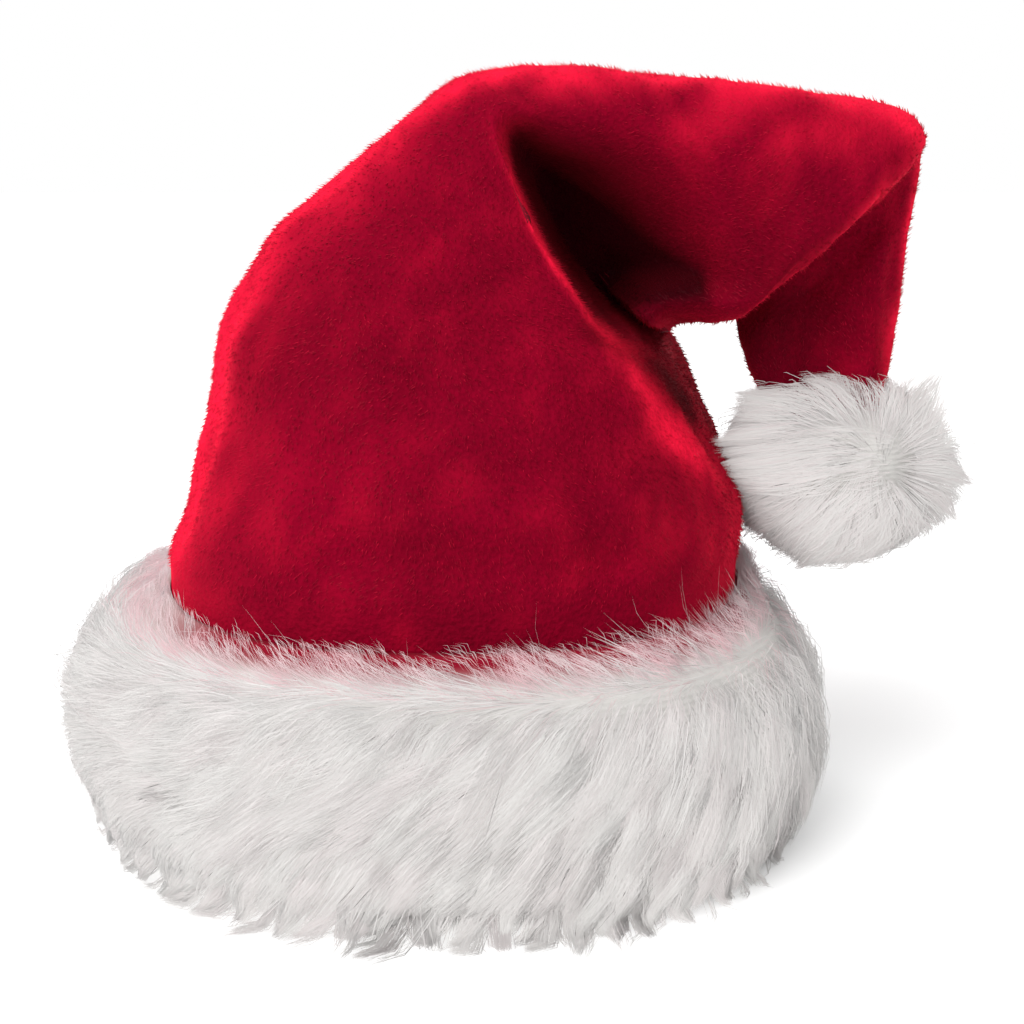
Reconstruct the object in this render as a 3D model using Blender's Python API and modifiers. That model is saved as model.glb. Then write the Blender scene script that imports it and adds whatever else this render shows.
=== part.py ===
"""A plush Santa hat that stands on its long-pile cuff, with its tail folded over to one side.

Metres, +Z up. The wearer's left is at +X and the front of the hat looks along -Y. The origin
lies on the floor, at the middle of the whole hat's box. Three sewn pieces: the crown is one
hollow shell of plush, the cuff is a ring of long pile round its foot, and the pompom sits on
the end of the tail.
"""

import bmesh
import bpy
import numpy as np

# The pieces as a whole
CLOTH = 0.003  # plush with its short dense pile pressed flat
SEAM_GAP = 0.0004  # between the crown and what is sewn to it
PRESSED_GAP = 0.0007  # between the crown and the pompom, whose pile is pressed on its folds
OVAL_POWER = 2.25  # a section is a little fuller than an ellipse
ROW_LENGTH = 0.020  # cloth between two rows of the crown's table, for the folds' reach
GIRTH_PER_SPAN = 2.6  # cloth round a section for each metre across it
SEED = 24
# From the middle that the tables are laid out from to the middle of the finished hat's box
TO_ORIGIN = (0.0001, 0.0024, 0.0)

# One row for each section of the crown, from the hem to the end of the tail. A section runs
# between an outer point, on the hat's left and upper outline, and an inner point, on the side
# that the tail folds over to. middle_y is the depth of that line, front and back are how far
# the cloth bulges from it. Past the share "ridge" of the way in, over "crease" of the way, the
# front is tucked back by "tuck", and "lip" of that tuck is left at the inner point.
CROWN_COLUMNS = (
    "outer_x outer_z inner_x inner_z middle_y front back ridge crease tuck lip".split()
)
CROWN_ROWS = (
    (-0.1215, 0.0060, 0.0800, 0.0060, 0.000, 0.093, 0.093, 1.00, 0.13, 0.000, 1.00),
    (-0.1215, 0.0820, 0.0800, 0.0820, 0.000, 0.093, 0.093, 1.00, 0.13, 0.000, 1.00),
    (-0.1215, 0.0970, 0.0800, 0.0970, 0.000, 0.093, 0.093, 1.00, 0.13, 0.000, 1.00),
    (-0.1142, 0.1200, 0.0815, 0.1130, 0.000, 0.090, 0.090, 0.97, 0.13, 0.006, 1.00),
    (-0.1078, 0.1460, 0.0765, 0.1300, 0.002, 0.085, 0.082, 0.94, 0.12, 0.024, 0.90),
    (-0.1037, 0.1720, 0.0690, 0.1485, 0.004, 0.076, 0.074, 0.90, 0.12, 0.046, 0.70),
    (-0.0950, 0.1930, 0.0620, 0.1650, 0.005, 0.067, 0.066, 0.87, 0.11, 0.060, 0.50),
    (-0.0845, 0.2080, 0.0585, 0.1695, 0.006, 0.060, 0.062, 0.83, 0.11, 0.068, 0.35),
    (-0.0580, 0.2310, 0.0570, 0.1725, 0.006, 0.049, 0.058, 0.71, 0.12, 0.070, 0.25),
    (-0.0345, 0.2505, 0.0580, 0.1745, 0.006, 0.039, 0.054, 0.45, 0.16, 0.064, 0.20),
    (-0.0140, 0.2635, 0.0605, 0.1760, 0.005, 0.031, 0.050, 0.13, 0.36, 0.052, 0.15),
    (0.0170, 0.2665, 0.0645, 0.1770, 0.003, 0.025, 0.044, 0.12, 0.60, 0.036, 0.10),
    (0.0490, 0.2635, 0.0685, 0.1780, 0.001, 0.022, 0.034, 0.16, 0.62, 0.022, 0.05),
    (0.0840, 0.2595, 0.0725, 0.1788, -0.002, 0.022, 0.025, 0.20, 0.60, 0.010, 0.00),
    (0.1150, 0.2555, 0.0765, 0.1797, -0.004, 0.022, 0.019, 0.20, 0.60, 0.003, 0.00),
    (0.1370, 0.2495, 0.0785, 0.1805, -0.005, 0.022, 0.015, 0.20, 0.60, 0.000, 0.00),
    (0.1430, 0.2410, 0.0795, 0.1808, -0.001, 0.022, 0.013, 0.20, 0.60, 0.000, 0.00),
    (0.1435, 0.2330, 0.0800, 0.1800, 0.013, 0.011, 0.013, 0.20, 0.60, 0.000, 0.00),
    (0.1430, 0.2200, 0.0805, 0.1770, 0.015, 0.012, 0.013, 0.20, 0.60, 0.000, 0.00),
    (0.1405, 0.2000, 0.0815, 0.1710, 0.014, 0.014, 0.014, 0.20, 0.60, 0.000, 0.00),
    (0.1370, 0.1740, 0.0835, 0.1640, 0.012, 0.014, 0.015, 0.20, 0.60, 0.000, 0.00),
    (0.1350, 0.1570, 0.0870, 0.1560, 0.009, 0.013, 0.013, 0.20, 0.60, 0.000, 0.00),
    (0.1290, 0.1430, 0.0950, 0.1430, 0.007, 0.010, 0.010, 0.20, 0.60, 0.000, 0.00),
)
COVERED_ROWS = 2.0  # the cuff hides the crown below this row
FOLDS_FADE_IN = 0.6  # rows above the cuff over which the folds reach their height
LIP_FROM, LIP_WIDTH = 0.77, 0.13  # where the tuck swells out again, at the soonest
BACK_TUCK_FROM = 0.45  # share of the way in from which the back follows the tuck
# The wall of the tuck stands steep: its cloth slips toward the ridge, most at SLIP_AT of the
# crease and over SLIP_REACH of it, and less between the shares SLIP_FADES of the way in.
SLIP_AT, SLIP_REACH = 0.60, 0.50
SLIP_FADES = (0.70, 0.95)
TAIL_END_DROP = 0.003  # the closed end's middle, past the last section

# One row for each smaller fold: a line over the cloth from one (row, turn) to another. The
# turn goes round a section from 0 at the inner point by 0.25 at the back, 0.5 at the outer
# point and 0.75 at the front. A negative height is a dent.
FOLD_COLUMNS = "row_from turn_from row_to turn_to height reach".split()
FOLDS = {
    "side_pleat": (2.8, 0.545, 4.8, 0.550, -0.0030, 0.010),
    "waist": (5.8, 0.550, 5.9, 0.600, -0.0020, 0.009),
    "front_sag": (4.4, 0.600, 3.9, 0.800, -0.0030, 0.014),
    "front_swell": (3.3, 0.660, 3.8, 0.860, 0.0025, 0.010),
    "over_cuff": (2.9, 0.700, 2.8, 0.820, -0.0030, 0.009),
    "tube_arc": (13.0, 0.580, 14.6, 0.800, 0.0030, 0.010),
    "tail_groove": (18.5, 0.780, 21.0, 0.760, -0.0050, 0.008),
    "tail_side": (18.5, 0.660, 21.0, 0.660, 0.0025, 0.006),
    "back_hollow": (8.0, 0.300, 11.0, 0.180, -0.0060, 0.016),
    "back_sag": (4.0, 0.330, 4.6, 0.150, -0.0040, 0.014),
}
FIRST_RINGS = (0.0, 1.0, 2.0)
RING_STEP = 0.6
BACK_COLUMNS = 14
# Over the front one column of faces follows the ridge: these are the columns before it, over
# its crease and past it, and how far in the ridge and the crease's end may lie for that.
FRONT_COLUMNS = (9, 6, 7)
FARTHEST_RIDGE = (0.86, 0.95)

# The cuff's section, from the tips against the crown, over the parting and down the outer
# face to the floor, then in under the foot and up the inner side. "out" is from the crown.
CUFF_COLUMNS = ("out", "up")
CUFF_ROWS = (
    (0.0020, 0.0850),
    (0.0085, 0.0815),
    (0.0150, 0.0755),
    (0.0220, 0.0690),
    (0.0275, 0.0540),
    (0.0290, 0.0360),
    (0.0270, 0.0170),
    (0.0220, 0.0035),
    (0.0160, 0.0000),
    (0.0080, 0.0000),
    (0.0000, 0.0000),
    (0.0000, 0.0450),
    (0.0000, 0.0800),
)
PARTING_ROW = 2  # above it the pile is brushed up the crown, below it down to the floor
FLOOR_ROW = 8
# Where the cuff stands out or rises more than elsewhere, by turn as on the crown.
SWELL_COLUMNS = "turn out up reach".split()
CUFF_SWELLS = {
    "left_end": (0.50, 0.0020, 0.0040, 0.080),
    "back": (0.25, 0.0020, 0.0050, 0.110),
    "right_end": (0.02, -0.0040, 0.0060, 0.070),
    "front": (0.76, 0.0085, 0.0000, 0.130),
}
LOCKS_ROUND = 28  # locks in each tier
LOCK_COLUMNS = 4  # faces across each
FALLING_TIERS = 4  # tiers of locks between the parting and the floor
LOCK_STEPS = (0.0, 0.4, 0.8, 1.0)  # rings from a lock's root to its tip
LOCK_POINT = 1.5  # 1 is a plain point, and more is a rounder one
LOCK_LENGTHS = (0.7, 1.25)
LAST_TIP_ROW = 7.4  # where the lowest tier ends, just over the floor
FIRST_ROOT = 0.1  # rows below the parting at which the falling locks begin
LOCK_RISE = 0.0062
LOCK_LEAN = 0.0075
LOCK_SWEEP = 0.0110  # toward falling turns: strongest at SWEPT_TURN, least across from it
LEAST_SWEEP, SWEPT_TURN = -0.1, 0.60
FRINGE_STEPS = (1.0, 0.6, 0.0)
FRINGE_RISE = 0.0025
SLOPE_STEP = 0.02  # rows over which the section's slope is taken
TIP_CLEARANCE = 0.0008  # the lowest tips stay this far over the floor

# The pompom
POMPOM_CENTRE = (0.1175, 0.0050, 0.1255)
POMPOM_RADII = (0.0375, 0.0340, 0.0295)
POMPOM_COLUMNS = 45
POMPOM_RINGS = 20
POMPOM_LOCKS_ROUND = 15
POMPOM_TIER_RINGS = 3
POMPOM_RISE = 0.0065
POMPOM_LEAN = 0.0060

RED = (0.42, 0.004, 0.022)
WHITE = (0.84, 0.82, 0.82)


def clear_scene():
    for old in list(bpy.data.objects):
        bpy.data.objects.remove(old)


def new_collection(name, parent):
    made = bpy.data.collections.new(name)
    parent.children.link(made)
    return made


def pile_material(name, colour, roughness):
    material = bpy.data.materials.new(name)
    material.use_nodes = True
    shader = material.node_tree.nodes["Principled BSDF"]
    shader.inputs["Base Color"].default_value = (*colour, 1)
    shader.inputs["Roughness"].default_value = roughness
    shader.inputs["Metallic"].default_value = 0
    return material


def ease(low, high, x):
    """0 below low, 1 above high, and a smooth step between them."""
    share = np.clip((x - low) / (high - low), 0, 1)
    return share * share * (3 - 2 * share)


def read_rows(rows, at):
    """The table's columns at row number "at", along a cubic that never overshoots a row."""
    table = np.array(rows)
    step = np.diff(table, axis=0)
    same_way = step[:-1] * step[1:] > 0
    total = np.where(same_way, step[:-1] + step[1:], 1)
    slope = np.zeros_like(table)
    slope[1:-1] = np.where(same_way, 2 * step[:-1] * step[1:] / total, 0)
    slope[0], slope[-1] = step[0], step[-1]
    low = np.clip(np.floor(at).astype(int), 0, len(table) - 2)
    f = (at - low)[..., None]
    return (
        (1 + 2 * f) * (1 - f) ** 2 * table[low]
        + f * (1 - f) ** 2 * slope[low]
        + f**2 * (3 - 2 * f) * table[low + 1]
        + f**2 * (f - 1) * slope[low + 1]
    )


def named(columns, values):
    """Columns of a table by name, from an array whose last axis holds them."""
    return dict(zip(columns, np.moveaxis(np.asarray(values), -1, 0)))


def oval(turn):
    """Unit section of the hat: 1 at turn 0 and 0.25, rounder than a box, fuller than an ellipse."""
    angle = 2 * np.pi * turn
    across, deep = np.cos(angle), np.sin(angle)
    power = 2 / OVAL_POWER
    return np.sign(across) * abs(across) ** power, np.sign(deep) * abs(deep) ** power


def crown_sections(row, turn):
    """Points of the crown's outer face with its main tuck, before the smaller folds."""
    c = named(CROWN_COLUMNS, read_rows(CROWN_ROWS, row))
    across, deep = oval(turn)
    inward = (1 + across) / 2
    past = c["ridge"] + c["crease"]
    lip_from = np.maximum(LIP_FROM, past)
    swell = 1 - (1 - c["lip"]) * ease(lip_from, lip_from + LIP_WIDTH, inward)
    least = 1 - (1 - c["lip"]) * ease(lip_from, lip_from + LIP_WIDTH, 1)
    front_tuck = ease(c["ridge"], past, inward) * swell
    back_tuck = ease(c["ridge"], past, 1) * least * ease(BACK_TUCK_FROM, 1, inward)
    tucked = c["tuck"] * np.where(deep < 0, front_tuck, back_tuck)
    slip_at = c["ridge"] + SLIP_AT * c["crease"]
    slip = np.exp(-(((inward - slip_at) / (SLIP_REACH * c["crease"])) ** 2))
    slip = slip * c["tuck"] * (1 - ease(*SLIP_FADES, inward))
    inward = inward - np.where(deep < 0, slip, 0)
    return np.stack(
        (
            c["outer_x"] + (c["inner_x"] - c["outer_x"]) * inward,
            c["middle_y"] + deep * np.where(deep < 0, c["front"], c["back"]) + tucked,
            c["outer_z"] + (c["inner_z"] - c["outer_z"]) * inward,
        ),
        -1,
    )


def grid_normals(points):
    """Outward unit normals of a grid that is closed round its second axis."""
    along = np.gradient(points, axis=0)
    round_it = np.roll(points, -1, axis=1) - np.roll(points, 1, axis=1)
    normal = np.cross(round_it, along)
    return normal / np.linalg.norm(normal, axis=-1, keepdims=True)


def fold_heights(row, turn):
    """How far the smaller folds stand out of the cloth, each a soft ridge along its line."""
    c = named(CROWN_COLUMNS, read_rows(CROWN_ROWS, row))
    span = np.hypot(c["inner_x"] - c["outer_x"], c["inner_z"] - c["outer_z"])
    girth = GIRTH_PER_SPAN * span
    height = np.zeros_like(span)
    for values in FOLDS.values():
        fold = named(FOLD_COLUMNS, values)
        to_end = (
            (fold["row_to"] - fold["row_from"]) * ROW_LENGTH,
            (fold["turn_to"] - fold["turn_from"]) * girth,
        )
        to_point = (
            (row - fold["row_from"]) * ROW_LENGTH,
            (turn - fold["turn_from"]) * girth,
        )
        length = to_end[0] ** 2 + to_end[1] ** 2
        share = np.clip(
            (to_point[0] * to_end[0] + to_point[1] * to_end[1]) / length, 0, 1
        )
        away = (to_point[0] - share * to_end[0]) ** 2
        away = away + (to_point[1] - share * to_end[1]) ** 2
        height = height + fold["height"] * np.exp(-away / fold["reach"] ** 2)
    return height * ease(COVERED_ROWS, COVERED_ROWS + FOLDS_FADE_IN, row)


def crown_surface(row, turn, stand_off=0.0):
    """The crown's outer face with all its folds, moved outward by stand_off."""
    row, turn = np.broadcast_arrays(row, turn)
    points = crown_sections(row, turn)
    lift = fold_heights(row, turn) + stand_off
    return points + grid_normals(points) * lift[..., None]


def ring_faces(rings, columns, closed=False):
    """Four-sided faces of a grid that is closed round, and along too where closed is true."""
    index = np.arange(rings * columns).reshape(rings, columns)
    after = np.roll(index, -1, axis=0) if closed else index[1:]
    index = index if closed else index[:-1]
    corners = (index, np.roll(index, -1, axis=1), np.roll(after, -1, axis=1), after)
    return np.stack(corners, -1).reshape(-1, 4).tolist()


def new_object(name, points, faces, collection, material=None):
    mesh = bpy.data.meshes.new(name)
    mesh.from_pydata(points.tolist(), [], faces)
    made = bpy.data.objects.new(name, mesh)
    collection.objects.link(made)
    if material:
        mesh.materials.append(material)
    mesh.shade_smooth()
    return made


def turn_at(inward):
    """The turn, on the front of a section, of a point that far in from its outer point."""
    across = 2 * inward - 1
    cosine = np.sign(across) * abs(across) ** (OVAL_POWER / 2)
    return 1 - np.arccos(np.clip(cosine, -1, 1)) / (2 * np.pi)


def crown_turns(rows):
    """Turns round each section: even over the back, and over the front lined up on the ridge."""
    c = named(CROWN_COLUMNS, read_rows(CROWN_ROWS, rows))
    ridge = turn_at(np.minimum(c["ridge"], FARTHEST_RIDGE[0]))
    past = turn_at(np.minimum(c["ridge"] + c["crease"], FARTHEST_RIDGE[1]))
    edges = (0.5, ridge, past, 1.0)
    turns = [np.arange(BACK_COLUMNS) / BACK_COLUMNS / 2 + 0 * ridge]
    for start, stop, count in zip(edges, edges[1:], FRONT_COLUMNS):
        turns.append(start + (stop - start) * np.arange(count) / count)
    return np.hstack(turns)


def closed_tail(points):
    """The grid's points with one more in the middle of its last ring, and that end's faces."""
    rings, columns = points.shape[:2]
    middle = points[-1].mean(axis=0) - (0, 0, TAIL_END_DROP)
    first = (rings - 1) * columns
    end = [
        (first + k, first + (k + 1) % columns, rings * columns) for k in range(columns)
    ]
    return np.vstack((points.reshape(-1, 3), middle)), end


def crown_rows():
    """Row numbers of the rings, from the hem to the end of the tail."""
    last = len(CROWN_ROWS) - 1
    steps = round((last - FIRST_RINGS[-1]) / RING_STEP)
    upper = np.linspace(FIRST_RINGS[-1], last, steps + 1)[1:]
    return np.concatenate((FIRST_RINGS, upper))[:, None]


def build_crown(collection, material):
    rows = crown_rows()
    grid = crown_surface(rows, crown_turns(rows))
    points, end = closed_tail(grid)
    faces = ring_faces(*grid.shape[:2]) + end
    crown = new_object("crown", points, faces, collection, material)
    shell = crown.modifiers.new("cloth", "SOLIDIFY")
    shell.thickness = CLOTH
    shell.offset = -1
    shell.use_even_offset = False
    return crown


def lock_shape(turn, tier, share, locks_round, lengths):
    """How far out of its tier a lock is at a share of its length: high along its middle."""
    at = turn * locks_round + 0.5 * (tier % 2)
    number = np.floor(at).astype(int)
    side = 2 * (at - number) - 1
    length = lengths[tier, number % locks_round]
    return length * share * (1 - abs(side) ** LOCK_POINT)


def cuff_section(position, turn):
    """Out and up of the cuff's section, with its swells, at a position in the section's table."""
    section = named(CUFF_COLUMNS, read_rows(CUFF_ROWS, position))
    out, up = section["out"], section["up"]
    for values in CUFF_SWELLS.values():
        swell = named(SWELL_COLUMNS, values)
        away = (turn - swell["turn"] + 0.5) % 1 - 0.5
        here = np.exp(-((away / swell["reach"]) ** 2))
        grown = 1 + here * swell["up"] / CUFF_ROWS[0][1]
        out = out + here * swell["out"] * ease(0, CUFF_ROWS[PARTING_ROW][0], out)
        up = up * grown
    return out, up


def cuff_surface(position, tier, share, turn, lengths):
    """The cuff's points. tier is -1 where the section is bare, and 0 in the fringe."""
    position, tier, share, turn = np.broadcast_arrays(position, tier, share, turn)
    out, up = cuff_section(position, turn)
    more_out, more_up = cuff_section(position + SLOPE_STEP, turn)
    slope = np.stack((more_out - out, more_up - up))
    slope = slope / np.maximum(np.hypot(*slope), 1e-9)
    toward_tip = np.where(tier == 0, -slope, slope)
    bare = tier < 0
    shape = lock_shape(turn, np.maximum(tier, 0), share, LOCKS_ROUND, lengths)
    shape = np.where(bare, 0, shape)
    rise = shape * np.where(tier == 0, FRINGE_RISE, LOCK_RISE)
    lean = shape * share * np.where(tier == 0, FRINGE_RISE, LOCK_LEAN)
    out = out - slope[1] * rise + toward_tip[0] * lean
    up = up + slope[0] * rise + toward_tip[1] * lean
    up = np.where(bare, up, np.maximum(up, TIP_CLEARANCE * (tier > 0)))
    foot = named(CROWN_COLUMNS, CROWN_ROWS[0])
    half_width = (foot["inner_x"] - foot["outer_x"]) / 2 + SEAM_GAP
    middle_x = (foot["inner_x"] + foot["outer_x"]) / 2
    across, deep = oval(turn)
    angle = 2 * np.pi * turn
    swept = (1 + np.cos(angle - 2 * np.pi * SWEPT_TURN)) / 2
    sweep = LOCK_SWEEP * (LEAST_SWEEP + (1 - LEAST_SWEEP) * swept)
    sweep = sweep * shape * share * (tier > 0)
    return np.stack(
        (
            middle_x + (half_width + out) * across + sweep * np.sin(angle),
            (foot["front"] + SEAM_GAP + out) * deep - sweep * np.cos(angle),
            up,
        ),
        -1,
    )


def cuff_rings():
    """Position, tier and share of each ring round the cuff, as three columns."""
    fringe = [(PARTING_ROW * (1 - a), 0, a) for a in FRINGE_STEPS]
    fall = np.linspace(PARTING_ROW, LAST_TIP_ROW, FALLING_TIERS + 1)
    falling = [
        (start + (stop - start) * a, tier, a)
        for tier, (start, stop) in enumerate(zip(fall, fall[1:]), 1)
        for a in LOCK_STEPS
    ]
    falling[0] = (PARTING_ROW + FIRST_ROOT, 1, 0.0)
    bare = [(float(k), -1, 0.0) for k in range(FLOOR_ROW, len(CUFF_ROWS))]
    return np.array(fringe + falling + bare).T[..., None]


def build_cuff(collection, material, chance):
    position, tier, share = cuff_rings()
    turn = np.arange(LOCKS_ROUND * LOCK_COLUMNS)[None] / (LOCKS_ROUND * LOCK_COLUMNS)
    lengths = chance.uniform(*LOCK_LENGTHS, (FALLING_TIERS + 1, LOCKS_ROUND))
    grid = cuff_surface(position, tier.astype(int), share, turn, lengths)
    # The section's table runs from the top to the floor, so its rings are taken backward.
    faces = ring_faces(*grid.shape[:2], closed=True)
    return new_object("cuff", grid[::-1].reshape(-1, 3), faces, collection, material)


def crown_cutter(collection):
    """The crown as one solid with its seam gap: the tail's end and the side hollow the pompom."""
    rows = crown_rows()
    grid = crown_surface(rows, crown_turns(rows), stand_off=PRESSED_GAP)
    points, end = closed_tail(grid)
    points[-1] -= (0, 0, PRESSED_GAP)
    foot = tuple(reversed(range(grid.shape[1])))
    faces = ring_faces(*grid.shape[:2]) + end + [foot]
    cutter = new_object("crown_cutter", points, faces, collection)
    cutter.hide_render = True
    cutter.display_type = "WIRE"
    return cutter


def build_pompom(collection, material, chance, cutter):
    """A ball whose surface is drawn out into tiers of locks that hang from the tail."""
    ball = bmesh.new()
    bmesh.ops.create_uvsphere(
        ball, u_segments=POMPOM_COLUMNS, v_segments=POMPOM_RINGS, radius=1
    )
    tiers = POMPOM_RINGS // POMPOM_TIER_RINGS + 1
    lengths = chance.uniform(*LOCK_LENGTHS, (tiers, POMPOM_LOCKS_ROUND))
    radii = np.array(POMPOM_RADII)
    for vertex in ball.verts:
        unit = np.array(vertex.co)
        ring = round(np.arccos(np.clip(unit[2], -1, 1)) / np.pi * POMPOM_RINGS)
        tier, step = divmod(ring, POMPOM_TIER_RINGS)
        share = step / (POMPOM_TIER_RINGS - 1)
        turn = np.arctan2(unit[1], unit[0]) / (2 * np.pi) % 1
        shape = lock_shape(turn, np.array(tier), share, POMPOM_LOCKS_ROUND, lengths)
        if ring in (0, POMPOM_RINGS):
            shape = 0
        down = unit * unit[2] - (0, 0, 1)
        vertex.co = radii * unit + POMPOM_RISE * shape * unit + POMPOM_LEAN * shape * down
    mesh = bpy.data.meshes.new("pompom")
    ball.to_mesh(mesh)
    ball.free()
    mesh.materials.append(material)
    mesh.shade_smooth()
    pompom = bpy.data.objects.new("pompom", mesh)
    pompom.location = POMPOM_CENTRE
    collection.objects.link(pompom)
    hollow = pompom.modifiers.new("pressed_on_crown", "BOOLEAN")
    hollow.operation = "DIFFERENCE"
    hollow.object = cutter
    return pompom


def move_to_origin(collection):
    for made in collection.objects:
        made.location.x += TO_ORIGIN[0]
        made.location.y += TO_ORIGIN[1]
        made.location.z += TO_ORIGIN[2]


def main():
    clear_scene()
    scene = bpy.context.scene.collection
    parts = new_collection("santa_hat", scene)
    cutters = new_collection("cutters", scene)
    chance = np.random.default_rng(SEED)
    plush = pile_material("red_plush", RED, 0.9)
    fur = pile_material("white_fur", WHITE, 0.95)
    build_crown(parts, plush)
    build_cuff(parts, fur, chance)
    build_pompom(parts, fur, chance, crown_cutter(cutters))
    move_to_origin(parts)
    move_to_origin(cutters)


main()
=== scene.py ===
# %% [markdown]
# # A plush hat with a long-pile cuff and pompom
# The hat is sewn from two cloths. Its crown is a tall cone of short red plush, stood on its
# cuff so that it folds over twice: once at the top and once where the tail hangs down. The
# cuff and the pompom are white cloth with a pile 20 to 30 mm long.
#
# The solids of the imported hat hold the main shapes. This file dresses them: it lays a fine
# surface with its pile over each, and combs the long fur the way the photograph shows it.
# Every surface is a function of two parameters, worked out with numpy for a whole grid at
# once, and every hair is a thin closed spindle, joined with thousands of others in one mesh.

import bpy
import numpy as np
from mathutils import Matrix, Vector


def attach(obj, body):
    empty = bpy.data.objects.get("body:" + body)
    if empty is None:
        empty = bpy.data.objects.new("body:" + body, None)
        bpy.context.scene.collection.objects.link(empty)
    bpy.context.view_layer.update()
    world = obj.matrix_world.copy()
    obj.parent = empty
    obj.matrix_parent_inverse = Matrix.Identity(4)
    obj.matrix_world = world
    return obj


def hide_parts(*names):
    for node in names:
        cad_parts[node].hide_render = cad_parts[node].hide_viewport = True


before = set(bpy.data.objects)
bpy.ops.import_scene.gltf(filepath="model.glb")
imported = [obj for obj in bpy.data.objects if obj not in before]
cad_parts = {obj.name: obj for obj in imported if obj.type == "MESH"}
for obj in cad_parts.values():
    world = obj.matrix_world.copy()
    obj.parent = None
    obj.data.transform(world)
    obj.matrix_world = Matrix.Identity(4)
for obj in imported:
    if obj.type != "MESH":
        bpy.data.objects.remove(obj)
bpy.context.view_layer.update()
chance = np.random.default_rng(24)
TO_ORIGIN = np.array((0.0001, 0.0024, 0.0))  # from the tables' middle to the hat's own

# %% [markdown]
# ## Camera
# The photograph looks a little down on the hat from about 0.7 m, which shows in how round
# the cuff's upper edge looks. A camera fitted to that ellipse and to the hat's outline comes
# first, because everything after it is judged through it.

# %% Camera at the photograph's angle
def placed(name, data):
    """A new object of the scene that shows this data."""
    made = bpy.data.objects.new(name, data)
    bpy.context.scene.collection.objects.link(made)
    return made


CAMERA_PLACE = Vector((0.0, -0.70, 0.262)) + Vector(TO_ORIGIN)
CAMERA_DOWN = np.radians(12.3)
PHOTO_WIDTH = 1024
FOCAL_PIXELS = 1990
SENSOR = 36.0

camera_data = bpy.data.cameras.new("camera")
camera_data.sensor_width = SENSOR
camera_data.lens = SENSOR * FOCAL_PIXELS / PHOTO_WIDTH
camera = placed("camera", camera_data)
camera.location = CAMERA_PLACE
camera.rotation_euler = (np.pi / 2 - CAMERA_DOWN, 0, 0)
bpy.context.scene.camera = camera
print("lens", round(camera_data.lens, 1), "mm")

# %% [markdown]
# ## The crown's shape
# A folded cone could be simulated, but a simulation would not fold where the photograph
# folds. So the crown is charted: each row of the table is one section through the cloth,
# from the hem up and along to the end of the tail. A section is a rounded oval between an
# outer and an inner point, and past the "ridge" its front is tucked back to make the deep
# hollow under the top fold. The same table made the solid, so the fine cloth fits it.

# %% Sections of the crown
CROWN_COLUMNS = (
    "outer_x outer_z inner_x inner_z middle_y front back ridge crease tuck lip".split()
)
CROWN_ROWS = (
    (-0.1215, 0.0060, 0.0800, 0.0060, 0.000, 0.093, 0.093, 1.00, 0.13, 0.000, 1.00),
    (-0.1215, 0.0820, 0.0800, 0.0820, 0.000, 0.093, 0.093, 1.00, 0.13, 0.000, 1.00),
    (-0.1215, 0.0970, 0.0800, 0.0970, 0.000, 0.093, 0.093, 1.00, 0.13, 0.000, 1.00),
    (-0.1142, 0.1200, 0.0815, 0.1130, 0.000, 0.090, 0.090, 0.97, 0.13, 0.006, 1.00),
    (-0.1078, 0.1460, 0.0765, 0.1300, 0.002, 0.085, 0.082, 0.94, 0.12, 0.024, 0.90),
    (-0.1037, 0.1720, 0.0690, 0.1485, 0.004, 0.076, 0.074, 0.90, 0.12, 0.046, 0.70),
    (-0.0950, 0.1930, 0.0620, 0.1650, 0.005, 0.067, 0.066, 0.87, 0.11, 0.060, 0.50),
    (-0.0845, 0.2080, 0.0585, 0.1695, 0.006, 0.060, 0.062, 0.83, 0.11, 0.068, 0.35),
    (-0.0580, 0.2310, 0.0570, 0.1725, 0.006, 0.049, 0.058, 0.71, 0.12, 0.070, 0.25),
    (-0.0345, 0.2505, 0.0580, 0.1745, 0.006, 0.039, 0.054, 0.45, 0.16, 0.064, 0.20),
    (-0.0140, 0.2635, 0.0605, 0.1760, 0.005, 0.031, 0.050, 0.13, 0.36, 0.052, 0.15),
    (0.0170, 0.2665, 0.0645, 0.1770, 0.003, 0.025, 0.044, 0.12, 0.60, 0.036, 0.10),
    (0.0490, 0.2635, 0.0685, 0.1780, 0.001, 0.022, 0.034, 0.16, 0.62, 0.022, 0.05),
    (0.0840, 0.2595, 0.0725, 0.1788, -0.002, 0.022, 0.025, 0.20, 0.60, 0.010, 0.00),
    (0.1150, 0.2555, 0.0765, 0.1797, -0.004, 0.022, 0.019, 0.20, 0.60, 0.003, 0.00),
    (0.1370, 0.2495, 0.0785, 0.1805, -0.005, 0.022, 0.015, 0.20, 0.60, 0.000, 0.00),
    (0.1430, 0.2410, 0.0795, 0.1808, -0.001, 0.022, 0.013, 0.20, 0.60, 0.000, 0.00),
    (0.1435, 0.2330, 0.0800, 0.1800, 0.013, 0.011, 0.013, 0.20, 0.60, 0.000, 0.00),
    (0.1430, 0.2200, 0.0805, 0.1770, 0.015, 0.012, 0.013, 0.20, 0.60, 0.000, 0.00),
    (0.1405, 0.2000, 0.0815, 0.1710, 0.014, 0.014, 0.014, 0.20, 0.60, 0.000, 0.00),
    (0.1370, 0.1740, 0.0835, 0.1640, 0.012, 0.014, 0.015, 0.20, 0.60, 0.000, 0.00),
    (0.1350, 0.1570, 0.0870, 0.1560, 0.009, 0.013, 0.013, 0.20, 0.60, 0.000, 0.00),
    (0.1290, 0.1430, 0.0950, 0.1430, 0.007, 0.010, 0.010, 0.20, 0.60, 0.000, 0.00),
)
LAST_ROW = len(CROWN_ROWS) - 1
ROW_LENGTH = 0.020  # cloth between two rows, near enough for folds and patterns
GIRTH_PER_SPAN = 2.6  # cloth round a section for each metre across it
OVAL_POWER = 2.25  # a section is a little fuller than an ellipse
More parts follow.
